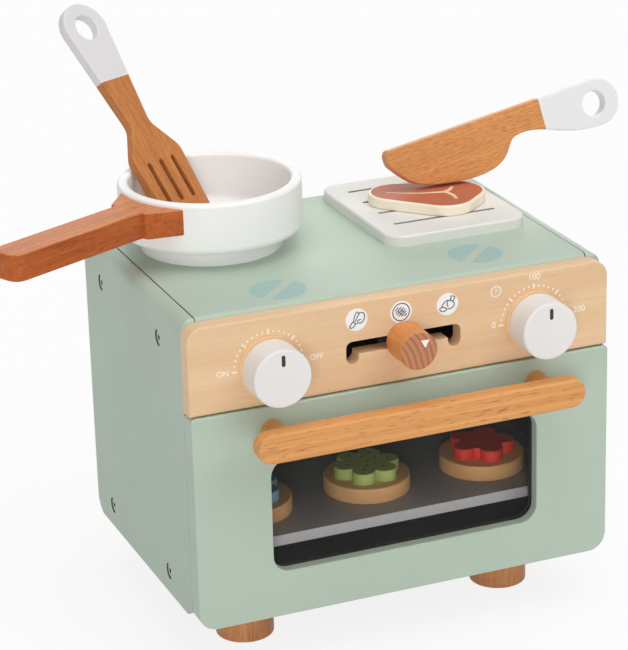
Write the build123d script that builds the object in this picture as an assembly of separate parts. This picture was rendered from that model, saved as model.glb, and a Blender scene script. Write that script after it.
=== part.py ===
from build123d import *
import os
from math import atan2, cos, degrees, radians, sin, sqrt

# A wooden toy oven with a hob on top, its cookware and its pretend food.
# Millimetres. X runs to the right, Y from the front to the back and Z up. The door front and
# the control panel face -Y. Every function places its piece from the middle of the casing, and
# the last step moves it, so that the origin is on the floor under the middle of the whole
# object, from the end of the pan's handle to the end of the knife.

os.makedirs("parts", exist_ok=True)

# Origin
CASING_X = 5.0  # origin to the middle of the casing
CASING_Y = -2.2

# Casing of flat boards
CASE_WIDTH = 280.0  # over both side boards
CASE_DEPTH = 184.0  # front edge to rear edge of a side board
SIDE_HEIGHT = 197.0  # height of a side board
BOARD = 9.5  # thickness of the sides, lid, bottom and ceiling
TOP_ROUND = 8.0  # round along the outer top edge of a side board
FRONT_ROUND = 3.5  # round along the front top edge of the lid and sides
CORNER_ROUND = 12.0  # lower corners of the side boards and the door
EASED = 0.5  # sanded arris along a seam
SEAM_WIDTH = 0.6  # open seam between the lid and a side board
SEAM_DEPTH = 2.5
BACK_BOARD = 5.0  # thickness of the back
BOTTOM_LIFT = 10.5  # side board's lower edge to the bottom board
CEILING_DROP = 20.0  # top of the casing to the ceiling board
CEILING_SETBACK = 24.0  # front edge of the side board to the ceiling board

# Feet
DOOR_CLEARANCE = 35.0  # floor to the lower edge of the door
FOOT_RADIUS = 18.7
FOOT_INSET_X = 50.0  # casing's side to the foot's middle
FOOT_INSET_Y = 44.0  # side board's front and rear edges to the foot's middle
FOOT_EASED = 1.2

# Control panel
PANEL_HEIGHT = 56.0
PANEL_BOARD = 11.0  # thickness
PANEL_ROUND = 10.0  # upper corners
PANEL_EASED = 1.0  # round along its front edges
PANEL_STEP = 2.2  # how far its top edge lies under the lid
PANEL_GAP = 0.8  # slit between the panel and the door
DOWEL_RADIUS = 3.0
DOWEL_DEPTH = 7.0  # how deep a dowel goes into each board
DOWEL_FIT = 0.05
DOWEL_INSET = 12.0  # from the panel's upper and lower edges

# Turning knobs
KNOB_RADIUS = 18.5
KNOB_LENGTH = 21.0
KNOB_ROUND = 1.6
KNOB_INSET = 51.5  # casing's side to the knob's axis
KNOB_DROP = 3.5  # middle of the panel to the knob axes
KNOB_GAP = 0.3  # between a knob and what it turns or slides on
SPACER_RADIUS = 19.4
SPACER_THICK = 2.0
SHAFT_RADIUS = 4.0
SHAFT_SINK = 12.0  # how deep a shaft is glued into its knob
SHAFT_FIT = 0.08
WASHER_RADIUS = 9.0
WASHER_THICK = 2.0
WASHER_PLAY = 0.15  # free play of a washer behind the panel

# Selector knob in its slot with three notches
SLOT_TRAVEL = 68.0  # between the outer notches
SLOT_WIDTH = 8.5
SLOT_DROP = 6.0  # depth of a notch below the slot
SLOT_LEVEL = 1.3  # middle of the panel to the middle of the slot
SLOT_PLAY = 0.3  # between the selector's shaft and the slot
NOTCHES = 3
SELECTOR_RADIUS = 12.0
SELECTOR_LENGTH = 22.5
SELECTOR_ROUND = 0.8
SLIDER_THICK = 3.0
SLIDER_WIDTH = 24.0
SLIDER_EDGE = 5.0  # above and below the window of the slider
SLIDER_PLAY = 0.15  # between the slider, the panel and its guides
GUIDE_HEIGHT = 6.0
GUIDE_MARGIN = 4.0  # how far the guides run past the slider's travel

# Screws
SCREW_FIT = 0.1  # radial clearance of every screw hole
SCREW_HEAD = 4.0
SCREW_RADIUS = 2.0
SCREW_CONE = 2.4  # height of a countersunk head
FOOT_SCREW = 30.0
BACK_SCREW = 22.0
HANDLE_SCREW = 27.0
BACK_SCREW_INSET = 40.0  # casing's side to the outer screws
SMALL_HEAD = 2.6
SMALL_SCREW = 1.3
SMALL_LENGTH = 9.0
SMALL_CONE = 1.4  # height of a small screw's countersunk head
BOLT_HEAD = 5.2  # radius of the side bolts' heads
BOLT_HEAD_THICK = 2.6
BOLT_SUNK = 0.8  # how deep their heads lie under the face
BOLT_RADIUS = 2.6
BOLT_LENGTH = 32.0
BOLT_SOCKET = 1.8  # radius over the corners of the hexagon socket
BOLT_SOCKET_DEPTH = 1.8
BOLT_FRONT = 42.0  # from the front edge of the side board
BOLT_BACK = 32.0  # from the rear edge of the side board

# Door
DOOR_BOARD = 12.5
DOOR_OVERHANG = 3.0  # how far the door reaches below the side boards
DOOR_GAP = 0.5  # between the door and the casing
DOOR_TOP_ROUND = 2.6  # upper corners
DOOR_EASED = 1.0
WINDOW_SIDE = 50.0  # door's side edges to the window
WINDOW_LIFT = 30.0  # door's lower edge to the window
WINDOW_DROP = 36.0  # door's upper edge to the window
WINDOW_ROUND = 11.0
WINDOW_LIP = 7.0  # depth of the frame in front of the pane
PANE_MARGIN = 9.0  # how far the rebate is wider than the window
PANE_THICK = 2.0
PANE_FIT = 0.3
BEZEL_THICK = 3.0
BEZEL_SCREW_INSET = 15.0  # window's side edges to the outer screws

# Door handle
HANDLE_LENGTH = 218.0
HANDLE_HEIGHT = 19.0
HANDLE_THICK = 12.0
HANDLE_ROUND = 2.2
HANDLE_STANDOFF = 18.5  # door front to the back of the bar
HANDLE_DROP = 15.0  # door's upper edge to the handle axis
POST_RADIUS = 7.0
POST_INSET = 20.0  # end of the bar to a post's middle
POST_SINK = 4.0  # how deep a post is set in the bar

# Butt hinges under the door
HINGE_LENGTH = 24.0
HINGE_INSET = 45.0  # casing's side to the hinge's middle
HINGE_MIDDLE = 8.0  # length of the door's knuckle
KNUCKLE_RADIUS = 1.9
KNUCKLE_PLAY = 0.4
HINGE_PIN = 0.9
HINGE_PIN_FIT = 0.05
LEAF_THICK = 0.9
LEAF_HEIGHT = 8.4
LEAF_SPLIT = 0.2  # between the two folded leaves
LEAF_SCREW_PITCH = 14.0
HINGE_LEVEL = 2.0  # door's lower edge to the hinge axis
RAIL_THICK = 14.0

# Magnet catch
MAGNET_RADIUS = 3.0
MAGNET_THICK = 3.0
MAGNET_FIT = 0.05
MAGNET_DROP = 14.0  # door's upper edge to the magnets

# Oven shelf
SHELF_THICK = 7.0
SHELF_LEVEL = 45.0  # door's lower edge to the upper face of the shelf
SHELF_SETBACK = 7.0  # front edge of the side board to the shelf
RUNNER_SIZE = 8.0

# Cookies on the shelf
COOKIE_RADIUS = 28.0
COOKIE_THICK = 10.5
COOKIE_PITCH = 82.0
COOKIE_DEPTH = 51.0  # front edge of the side board to the cookies' middle
COOKIE_ROUND = 1.0
TOPPING_THICK = 7.5
TOPPING_CORE = 15.0
TOPPING_LOBE = 7.5  # radius of a lobe
TOPPING_REACH = 14.5  # topping's middle to the middle of a lobe
TOPPING_ROUND = 0.8

# Pan
PAN_INSET = 67.5  # casing's left side to the pan's middle
PAN_Y = 33.5
PAN_RADIUS = 58.7
PAN_WALL = 7.0
PAN_HEIGHT = 44.0
PAN_FLOOR = 12.0
PAN_FOOT_RADIUS = 45.5
PAN_FOOT_HEIGHT = 10.5
PAN_ROUND = 2.0  # rim
PAN_BELLY = 5.0  # round under the pan's wall and round its floor
GRIP_ANGLE = 205.5  # direction of the pan's handle, seen from above
GRIP_REACH = 176.0  # pan's middle to the end of its handle
GRIP_WIDTH = 23.4
GRIP_THICK = 17.0
GRIP_DROP = 2.5  # rim to the top of the handle
GRIP_END_ROUND = 8.0
GRIP_EASED = 1.2
YOKE_ANGLE = 28.0  # half of the arc that the handle's yoke covers
YOKE_ROOT = 72.0  # pan's middle to the root of the yoke
YOKE_WIDTH = 31.0  # across the root of the yoke
PAN_SCREW_PITCH = 28.0
PAN_SCREW_LENGTH = 14.0
PAN_SCREW_SUNK = 0.8

# Spatula, which leans in the pan
SPATULA_LENGTH = 157.0
SPATULA_THICK = 7.0
SPATULA_BLADE = 44.0  # widest part of the blade
SPATULA_BLADE_AT = 46.0  # end of the blade to its widest part
SPATULA_TIP = 40.0  # width of the blade's end
SPATULA_TIP_ROUND = 4.0
SPATULA_SHOULDER = 12.0  # round of the blade's shoulders and of the neck
SPATULA_NECK = 17.0
SPATULA_NECK_AT = 67.0  # end of the blade to the neck
SPATULA_END = 17.5  # radius of the round end of the grip
HANG_HOLE = 8.6  # radius of the hanging hole in the spatula and the knife
SPATULA_SLOTS = 3
SPATULA_SLOT = 3.4  # width of the slots
SPATULA_SLOT_PITCH = 11.0
SPATULA_SLOT_FROM = 11.0
SPATULA_SLOT_TO = 41.0
SPATULA_AZIMUTH = 118.0  # where it leans on the rim, seen from above
SPATULA_FOOT = 22.0  # pan's middle to the end of the blade
TOOL_EASED = 1.0  # round along the edges of the spatula and the knife
REST_GAP = 0.3  # between a loose piece and the curved or sloping face it rests on

# Grill board, steak and knife
GRILL_INSET = 66.0  # casing's right side to the board's middle
GRILL_Y = 30.5
GRILL_WIDTH = 98.0
GRILL_DEPTH = 120.0
GRILL_THICK = 7.0
GRILL_ROUND = 13.0
GRILL_EASED = 1.6
GROOVES = 4
GROOVE_PITCH = 24.8
GROOVE_LENGTH = 72.0
GROOVE_WIDTH = 3.2
GROOVE_DEPTH = 1.5
GROOVE_SHIFT = 2.5  # the grooves lie behind the board's middle
STEAK_SHIFT = 2.0  # the steak lies right of the board's middle
STEAK_FORWARD = 7.0  # and in front of it
STEAK_ANGLE = -24.0
STEAK_THICK = 7.0
STEAK_ROUND = 1.2
STEAK_NARROW = 18.5  # radius of its narrow end
STEAK_BROAD = 20.5  # radius of each corner of its broad end
STEAK_NARROW_X = -21.5  # middles of its three corners, from the middle of the steak
STEAK_NARROW_Y = 5.2
STEAK_UPPER_X = 16.6
STEAK_UPPER_Y = 6.9
STEAK_LOWER_X = 10.25
STEAK_LOWER_Y = -7.0
KNIFE_SHIFT = 14.6  # board's middle to the middle of the knife's round end, to the back
KNIFE_REACH = 135.6  # and to the right
KNIFE_TILT = 10.2  # the spine rises to the right
KNIFE_LEAN = 14.0  # the knife leans back
KNIFE_THICK = 9.0
KNIFE_BELLY = 35.3  # depth of the blade
KNIFE_NOSE = 3.0  # along the knife: nose to the straight spine
KNIFE_TIP = 0.9  # to the middle of the round corner of the nose
KNIFE_TIP_DROP = 1.8
KNIFE_FORE_DROP = 6.0  # depth of the foremost point of the nose
KNIFE_EDGE = 2.3  # to the front of the cutting edge
KNIFE_EDGE_DROP = 12.9
KNIFE_CURVE = 14.5  # to the curve in front of the belly
KNIFE_CURVE_DROP = 25.8
KNIFE_FRONT = 30.0  # to the front end of the belly
KNIFE_FRONT_RISE = 3.6
KNIFE_LOWEST = 50.0  # to the lowest point of the belly
KNIFE_BACK = 70.0  # to the rear end of the belly
KNIFE_BACK_RISE = 0.3
KNIFE_BULGE = 80.0  # to the round corner behind the belly
KNIFE_BULGE_RISE = 4.0
KNIFE_RISE = 86.6  # to the front of the notch at the heel
KNIFE_RISE_DROP = 24.7
KNIFE_NOTCH = 90.7  # to the middle of the notch
KNIFE_NOTCH_DROP = 19.9
KNIFE_HEEL = 97.0  # to where the grip starts
KNIFE_NECK = 18.2  # depth there
KNIFE_SWELL = 132.9  # to the middle of the grip, which grows deeper to its end
KNIFE_SWELL_DROP = 27.8
KNIFE_GRIP = 158.0  # nose to the middle of the round end
KNIFE_END = 15.6  # radius of the round end
KNIFE_HOLE_SHIFT = 3.3  # the hole lies in front of the round end's middle

# Places that follow from the sizes above
side_x = CASE_WIDTH / 2
inner_x = side_x - BOARD
front_y = -CASE_DEPTH / 2
back_y = CASE_DEPTH / 2
door_z = DOOR_CLEARANCE
side_z = door_z + DOOR_OVERHANG
top_z = side_z + SIDE_HEIGHT
door_back_y = front_y - DOOR_GAP
door_front_y = door_back_y - DOOR_BOARD
panel_face_y = front_y - PANEL_BOARD
panel_top_z = top_z - PANEL_STEP
panel_z = panel_top_z - PANEL_HEIGHT
panel_middle_z = (panel_z + panel_top_z) / 2
door_top_z = panel_z - PANEL_GAP
door_height = door_top_z - door_z
bottom_z = side_z + BOTTOM_LIFT
floor_z = bottom_z + BOARD
lid_z = top_z - BOARD
ceiling_z = top_z - CEILING_DROP - BOARD
back_face_y = back_y - BACK_BOARD
knob_x = side_x - KNOB_INSET
knob_z = panel_middle_z - KNOB_DROP
knob_back_y = panel_face_y - SPACER_THICK - KNOB_GAP
slot_z = panel_middle_z - SLOT_LEVEL
selector_back_y = panel_face_y - KNOB_GAP
selector_shaft = SLOT_WIDTH / 2 - SLOT_PLAY
slider_y = front_y + SLIDER_PLAY
slider_back_y = slider_y + SLIDER_THICK
slider_z = slot_z - SLOT_DROP - SLOT_WIDTH / 2 - SLIDER_EDGE
slider_top_z = slot_z + SLOT_WIDTH / 2 + SLIDER_EDGE
shelf_y = front_y + SHELF_SETBACK
shelf_z = door_z + SHELF_LEVEL
cookie_y = front_y + COOKIE_DEPTH
hinge_y = front_y - DOOR_GAP / 2
hinge_z = door_z + HINGE_LEVEL
leaf_z = hinge_z + KNUCKLE_RADIUS + KNUCKLE_PLAY
leaf_screw_z = leaf_z + LEAF_HEIGHT / 2
magnet_x = side_x - BOARD / 2
magnet_z = door_top_z - MAGNET_DROP
window_width = CASE_WIDTH - 2 * WINDOW_SIDE
window_height = door_height - WINDOW_LIFT - WINDOW_DROP
window_z = door_z + WINDOW_LIFT + window_height / 2
pane_y = door_front_y + WINDOW_LIP
bezel_y = pane_y + PANE_THICK
handle_z = door_top_z - HANDLE_DROP
post_x = HANDLE_LENGTH / 2 - POST_INSET
bar_back_y = door_front_y - HANDLE_STANDOFF
rim_z = top_z + PAN_HEIGHT
pan_x = PAN_INSET - side_x
pan_floor_z = top_z + PAN_FLOOR
pan_inner = PAN_RADIUS - PAN_WALL
grip_top_z = rim_z - GRIP_DROP
grill_x = side_x - GRILL_INSET
grill_top_z = top_z + GRILL_THICK
steak_top_z = grill_top_z + STEAK_THICK


def block(x0, x1, y0, y1, z0, z1):
    """A box between two corners."""
    middle = Pos((x0 + x1) / 2, (y0 + y1) / 2, (z0 + z1) / 2)
    return middle * Box(x1 - x0, y1 - y0, z1 - z0)


def rod_x(x0, x1, y, z, radius):
    """A cylinder along X."""
    return Pos((x0 + x1) / 2, y, z) * Rot(0, 90, 0) * Cylinder(radius, abs(x1 - x0))


def rod_y(x, y0, y1, z, radius):
    """A cylinder along Y."""
    return Pos(x, (y0 + y1) / 2, z) * Rot(90, 0, 0) * Cylinder(radius, y1 - y0)


def rod_z(x, y, z0, z1, radius):
    """A cylinder along Z."""
    return Pos(x, y, (z0 + z1) / 2) * Cylinder(radius, z1 - z0)


def slab_xz(outline, y0, y1):
    """Extrude an outline drawn in X and Z from y0 back to y1."""
    return Pos(0, y0, 0) * extrude(Plane.XZ * outline, amount=y0 - y1)


def front_edges(solid):
    """The edges round a solid's front face."""
    return solid.faces().sort_by(Axis.Y)[0].edges()


def countersunk(place, length, shank=SCREW_RADIUS, head=SCREW_HEAD, cone=SCREW_CONE):
    """A cross-head screw that points along the place's -Z, with its head flush at its origin."""
    top = Pos(0, 0, -cone / 2) * Cone(shank, head, cone)
    rod = Pos(0, 0, -(cone + length) / 2) * Cylinder(shank, length - cone)
    cross = Pos(0, 0, -cone / 4) * Box(head, head / 5, cone / 2)
    return place * (top + rod - cross - Rot(0, 0, 90) * cross)


def countersink(place, length, shank=SCREW_RADIUS, head=SCREW_HEAD, cone=SCREW_CONE):
    """The hole for a countersunk screw."""
    top = Pos(0, 0, -cone / 2) * Cone(shank + SCREW_FIT, head + SCREW_FIT, cone)
    rod = Pos(0, 0, -length / 2) * Cylinder(shank + SCREW_FIT, length + SCREW_FIT)
    return place * (top + rod)


def small_screw(place):
    """A small countersunk screw."""
    return countersunk(place, SMALL_LENGTH, SMALL_SCREW, SMALL_HEAD, SMALL_CONE)


def small_hole(place):
    """The hole for a small countersunk screw."""
    return countersink(place, SMALL_LENGTH, SMALL_SCREW, SMALL_HEAD, SMALL_CONE)


def facing(x, y, z, direction):
    """A place whose +Z looks along the direction, for a screw head that faces that way."""
    return Plane(origin=(x, y, z), z_dir=direction).location


# Places of the repeated fasteners


def bolt_places():
    """Y and Z of each side bolt: into the bottom board and into the ceiling board."""
    ys = (front_y + BOLT_FRONT, back_y - BOLT_BACK)
    zs = (bottom_z + BOARD / 2, ceiling_z + BOARD / 2)
    return [(y, z) for y in ys for z in zs]


def dowel_places():
    """X and Z of each dowel behind the control panel."""
    zs = (panel_z + DOWEL_INSET, panel_top_z - DOWEL_INSET)
    return [(side * magnet_x, z) for side in (-1, 1) for z in zs]


def foot_places():
    """X and Y of each foot, by its name."""
    xs = {"left": FOOT_INSET_X - side_x, "right": side_x - FOOT_INSET_X}
    ys = {"front": front_y + FOOT_INSET_Y, "rear": back_y - FOOT_INSET_Y}
    return {f"foot_{row}_{side}": (xs[side], ys[row]) for row in ys for side in xs}


def foot_screw_places():
    """The screws that go down through the bottom board into the feet."""
    return [facing(x, y, floor_z, (0, 0, 1)) for x, y in foot_places().values()]


def back_screw_places():
    """The screws that hold the back to the bottom board and the ceiling board."""
    outer = side_x - BACK_SCREW_INSET
    xs = (-outer, 0, outer)
    zs = (bottom_z + BOARD / 2, ceiling_z + BOARD / 2)
    return [facing(x, back_y, z, (0, 1, 0)) for x in xs for z in zs]


def bezel_screw_places():
    """The screws that hold the bezel and the pane in the door."""
    reach = (window_height + PANE_MARGIN) / 2
    outer = window_width / 2 - BEZEL_SCREW_INSET
    xs = (-outer, 0, outer)
    zs = (window_z - reach, window_z + reach)
    return [facing(x, bezel_y + BEZEL_THICK, z, (0, 1, 0)) for x in xs for z in zs]


def handle_screw_places():
    """The screws that go from the door's inner face into the handle's posts."""
    return [facing(side * post_x, door_back_y, handle_z, (0, 1, 0)) for side in (-1, 1)]


def hinge_middles():
    """X of each hinge."""
    return (HINGE_INSET - side_x, side_x - HINGE_INSET)


def leaf_screw_places(y, direction):
    """The screws in one set of hinge leaves."""
    shifts = (-LEAF_SCREW_PITCH / 2, LEAF_SCREW_PITCH / 2)
    return [facing(x + s, y, leaf_screw_z, direction) for x in hinge_middles() for s in shifts]


def case_leaf_screw_places():
    return leaf_screw_places(hinge_y + LEAF_SPLIT / 2, (0, -1, 0))


def door_leaf_screw_places():
    return leaf_screw_places(hinge_y - LEAF_SPLIT / 2, (0, 1, 0))


# Casing


def bolt_hole(side, y, z):
    """The counterbored hole of one side bolt, through the side board and into the next board."""
    seat = side * (side_x - BOLT_SUNK - BOLT_HEAD_THICK)
    end = side * (side_x - BOLT_SUNK - BOLT_LENGTH - SCREW_FIT)
    head = rod_x(side * side_x, seat, y, z, BOLT_HEAD + SCREW_FIT)
    return head + rod_x(side * side_x, end, y, z, BOLT_RADIUS + SCREW_FIT)


def side_bolt(side, y, z):
    """A socket-head bolt that holds a side board to the bottom or the ceiling."""
    face = side * (side_x - BOLT_SUNK)
    seat = side * (side_x - BOLT_SUNK - BOLT_HEAD_THICK)
    end = side * (side_x - BOLT_SUNK - BOLT_LENGTH)
    bolt = rod_x(face, seat, y, z, BOLT_HEAD) + rod_x(seat, end, y, z, BOLT_RADIUS)
    socket = extrude(RegularPolygon(BOLT_SOCKET, 6), amount=BOLT_SOCKET_DEPTH, both=True)
    return bolt - Pos(face, y, z) * Rot(0, 90, 0) * socket


def side_board(side):
    """One side board: rounded lower corners, and a round along its outer top edge."""
    middle_z = side_z + SIDE_HEIGHT / 2
    flank = Rectangle(CASE_DEPTH, SIDE_HEIGHT)
    flank = fillet(flank.vertices().group_by(Axis.Y)[0], CORNER_ROUND)
    flank = fillet(flank.vertices().group_by(Axis.Y)[-1].sort_by(Axis.X)[0], FRONT_ROUND)
    plane = Plane(origin=(-side_x, 0, middle_z), x_dir=(0, 1, 0), z_dir=(1, 0, 0))
    board = extrude(plane * flank, amount=CASE_WIDTH)
    section = Pos(side * magnet_x, middle_z) * Rectangle(BOARD, SIDE_HEIGHT)
    outer = section.vertices().group_by(Axis.Y)[-1].sort_by(Axis.X)[-1 if side > 0 else 0]
    section = fillet(outer, min(TOP_ROUND, BOARD - 2 * EASED))
    inner = section.vertices().group_by(Axis.Y)[-1].sort_by(Axis.X)[0 if side > 0 else -1]
    board &= slab_xz(chamfer(inner, EASED), front_y, back_y)
    for y, z in bolt_places():
        board -= bolt_hole(side, y, z)
    for x, z in dowel_places():
        board -= rod_y(x, front_y - 1, front_y + DOWEL_DEPTH, z, DOWEL_RADIUS + DOWEL_FIT)
    socket_y = front_y + MAGNET_THICK
    board -= rod_y(side * magnet_x, front_y - 1, socket_y, magnet_z, MAGNET_RADIUS + MAGNET_FIT)
    return board


def side_bolts():
    """The eight bolts in the two side boards."""
    return [side_bolt(side, y, z) for side in (-1, 1) for y, z in bolt_places()]


def top_panel():
    """The lid between the side boards, with a rounded front edge."""
    lid = block(-inner_x, inner_x, front_y, back_y, lid_z, top_z)
    front = lid.edges().filter_by(Axis.X).group_by(Axis.Z)[-1].sort_by(Axis.Y)[0]
    lid = fillet(front, FRONT_ROUND)
    for side in (-inner_x, inner_x):
        lid -= block(side - SEAM_WIDTH, side + SEAM_WIDTH, front_y - 1, back_y + 1,
                     top_z - SEAM_DEPTH, top_z + 1)
    return lid


def level_board(y0, z0, holes):
    """A board between the sides, with the holes for the side bolts and the back's screws."""
    board = block(-inner_x, inner_x, y0, back_face_y, z0, z0 + BOARD)
    for side in (-1, 1):
        for y, z in bolt_places():
            board -= bolt_hole(side, y, z)
    for place in holes:
        board -= place
    return board


def back_screw_holes():
    return [countersink(place, BACK_SCREW) for place in back_screw_places()]


def bottom_panel():
    """The bottom board, which carries the feet."""
    feet = [countersink(place, FOOT_SCREW) for place in foot_screw_places()]
    return level_board(front_y, bottom_z, feet + back_screw_holes())


def cavity_ceiling():
    """The board over the oven's cavity, set back behind the controls."""
    return level_board(front_y + CEILING_SETBACK, ceiling_z, back_screw_holes())


def back_panel():
    """The thin back between the side boards."""
    back = block(-inner_x, inner_x, back_face_y, back_y, bottom_z, lid_z)
    for hole in back_screw_holes():
        back -= hole
    return back


def hinge_notches():
    """The space that the hinges' knuckles need in the door and in the rail."""
    reach = HINGE_LENGTH / 2 + KNUCKLE_PLAY
    radius = KNUCKLE_RADIUS + KNUCKLE_PLAY
    return [rod_x(x - reach, x + reach, hinge_y, hinge_z, radius) for x in hinge_middles()]


def leaf_recesses(y0, y1):
    """The shallow recesses for a set of hinge leaves."""
    half = HINGE_LENGTH / 2 + SCREW_FIT
    z1 = leaf_z + LEAF_HEIGHT + SCREW_FIT
    return [block(x - half, x + half, y0, y1, hinge_z, z1) for x in hinge_middles()]


def front_rail():
    """The strip below the door opening, which carries the hinges."""
    rail = block(-inner_x, inner_x, front_y, front_y + RAIL_THICK, side_z, bottom_z)
    leaf_back_y = hinge_y + LEAF_SPLIT / 2 + LEAF_THICK
    for cut in hinge_notches() + leaf_recesses(front_y - 1, leaf_back_y):
        rail -= cut
    for place in case_leaf_screw_places():
        rail -= small_hole(place)
    return rail


def foot(x, y):
    """A round wooden foot, with a pilot hole for its screw."""
    leg = rod_z(x, y, 0, bottom_z, FOOT_RADIUS)
    leg = fillet(leg.faces().sort_by(Axis.Z)[0].edges(), FOOT_EASED)
    return leg - rod_z(x, y, floor_z - FOOT_SCREW, bottom_z + 1, SCREW_RADIUS + SCREW_FIT)


def shelf_runners():
    """The two strips that carry the shelf."""
    z0 = shelf_z - SHELF_THICK - RUNNER_SIZE
    left = block(-inner_x, -inner_x + RUNNER_SIZE, shelf_y, back_face_y, z0, z0 + RUNNER_SIZE)
    return [left, mirror(left, about=Plane.YZ)]


def oven_shelf():
    """The board that the cookies lie on."""
    return block(-inner_x, inner_x, shelf_y, back_face_y, shelf_z - SHELF_THICK, shelf_z)


# Control panel


def selector_slot():
    """A level slot with a notch down at each setting."""
    slot = Pos(0, slot_z) * SlotCenterToCenter(SLOT_TRAVEL, SLOT_WIDTH)
    notch = Pos(0, slot_z - SLOT_DROP / 2) * SlotCenterToCenter(SLOT_DROP, SLOT_WIDTH, 90)
    step = SLOT_TRAVEL / (NOTCHES - 1)
    for number in range(NOTCHES):
        slot += Pos(number * step - SLOT_TRAVEL / 2, 0) * notch
    return slab_xz(slot, panel_face_y - 1, front_y + 1)


def control_panel():
    """The wooden board in front of the controls."""
    outline = Pos(0, panel_middle_z) * Rectangle(CASE_WIDTH, PANEL_HEIGHT)
    outline = fillet(outline.vertices().group_by(Axis.Y)[-1], PANEL_ROUND)
    panel = slab_xz(outline, panel_face_y, front_y)
    panel = fillet(front_edges(panel), PANEL_EASED)
    panel -= selector_slot()
    for side in (-1, 1):
        bore = SHAFT_RADIUS + SHAFT_FIT
        panel -= rod_y(side * knob_x, panel_face_y - 1, front_y + 1, knob_z, bore)
    for x, z in dowel_places():
        panel -= rod_y(x, front_y - DOWEL_DEPTH, front_y + 1, z, DOWEL_RADIUS + DOWEL_FIT)
    return panel


def panel_dowels():
    """The four dowels between the control panel and the side boards."""
    y0 = front_y - DOWEL_DEPTH
    y1 = front_y + DOWEL_DEPTH
    return [rod_y(x, y0, y1, z, DOWEL_RADIUS) for x, z in dowel_places()]


def knob_spacers():
    """The rings between the turning knobs and the panel."""
    y0 = panel_face_y - SPACER_THICK
    bore = SHAFT_RADIUS + SHAFT_FIT
    return [rod_y(x, y0, panel_face_y, knob_z, SPACER_RADIUS)
            - rod_y(x, y0 - 1, panel_face_y + 1, knob_z, bore) for x in (-knob_x, knob_x)]


def round_knob(x, z, back, radius, length, edge, shaft):
    """A turned knob with a blind bore for its shaft."""
    knob = rod_y(x, back - length, back, z, radius)
    knob = fillet(knob.edges().filter_by(GeomType.CIRCLE), edge)
    return knob - rod_y(x, back - SHAFT_SINK, back + 1, z, shaft)


def held_shaft(x, z, front, back, radius):
    """A shaft with a pilot hole for the screw in its rear end."""
    pilot = rod_y(x, back - SMALL_LENGTH, back + 1, z, SMALL_SCREW + SCREW_FIT)
    return rod_y(x, front, back, z, radius) - pilot


def shaft_washer(x, z, front):
    """The washer that keeps a shaft in the panel."""
    washer = rod_y(x, front, front + WASHER_THICK, z, WASHER_RADIUS)
    return washer - small_hole(facing(x, front + WASHER_THICK, z, (0, 1, 0)))


def turning_knob(side):
    """One turning knob with its shaft, its washer and its screw, by name."""
    x = side * knob_x
    washer_y = front_y + WASHER_PLAY
    return {
        "knob": round_knob(x, knob_z, knob_back_y, KNOB_RADIUS, KNOB_LENGTH, KNOB_ROUND,
                           SHAFT_RADIUS),
        "shaft": held_shaft(x, knob_z, knob_back_y - SHAFT_SINK, washer_y, SHAFT_RADIUS),
        "washer": shaft_washer(x, knob_z, washer_y),
        "knob_screw": small_screw(facing(x, washer_y + WASHER_THICK, knob_z, (0, 1, 0))),
    }


def selector_slider():
    """The plate behind the panel: it travels sideways, and the shaft drops in its window."""
    half = SLIDER_WIDTH / 2
    plate = block(-half, half, slider_y, slider_back_y, slider_z, slider_top_z)
    window = SlotCenterToCenter(SLOT_DROP, SLOT_WIDTH, 90)
    window = Pos(0, slot_z - SLOT_DROP / 2) * window
    return plate - slab_xz(window, slider_y - 1, slider_back_y + 1)


def selector_guides():
    """The strips on the panel's back that the slider runs between."""
    half = (SLOT_TRAVEL + SLIDER_WIDTH) / 2 + GUIDE_MARGIN
    low = slider_z - SLIDER_PLAY
    high = slider_top_z + SLIDER_PLAY
    return [block(-half, half, front_y, slider_back_y, low - GUIDE_HEIGHT, low),
            block(-half, half, front_y, slider_back_y, high, high + GUIDE_HEIGHT)]


def selector():
    """The selector knob at the middle setting, raised out of the notch, by name."""
    washer_y = slider_back_y + WASHER_PLAY
    return {
        "selector_knob": round_knob(0, slot_z, selector_back_y, SELECTOR_RADIUS,
                                    SELECTOR_LENGTH, SELECTOR_ROUND, selector_shaft),
        "selector_shaft": held_shaft(0, slot_z, selector_back_y - SHAFT_SINK, washer_y,
                                     selector_shaft),
        "selector_washer": shaft_washer(0, slot_z, washer_y),
        "selector_screw": small_screw(facing(0, washer_y + WASHER_THICK, slot_z, (0, 1, 0))),
    }


# Door


def window_outline(margin):
    """The window's outline, wider by a margin all round."""
    width = window_width + 2 * margin
    height = window_height + 2 * margin
    return Pos(0, window_z) * RectangleRounded(width, height, WINDOW_ROUND + margin)


def door_panel():
    """The door board, with its window, the rebate behind it and the hinge recesses."""
    middle_z = door_z + door_height / 2
    outline = Pos(0, middle_z) * Rectangle(CASE_WIDTH, door_height)
    outline = fillet(outline.vertices().group_by(Axis.Y)[0], CORNER_ROUND)
    outline = fillet(outline.vertices().group_by(Axis.Y)[-1], DOOR_TOP_ROUND)
    door = slab_xz(outline, door_front_y, door_back_y)
    door -= slab_xz(window_outline(0), door_front_y - 1, door_back_y + 1)
    door = fillet(front_edges(door), DOOR_EASED)
    door -= slab_xz(window_outline(PANE_MARGIN), pane_y, door_back_y + 1)
    leaf_back_y = hinge_y - LEAF_SPLIT / 2 - LEAF_THICK
    for cut in hinge_notches() + leaf_recesses(leaf_back_y, door_back_y + 1):
        door -= cut
    for place in door_leaf_screw_places() + bezel_screw_places():
        door -= small_hole(place)
    for place in handle_screw_places():
        door -= countersink(place, HANDLE_SCREW)
    for side in (-1, 1):
        x = side * magnet_x
        radius = MAGNET_RADIUS + MAGNET_FIT
        door -= rod_y(x, door_back_y - MAGNET_THICK, door_back_y + 1, magnet_z, radius)
    return door


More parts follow.
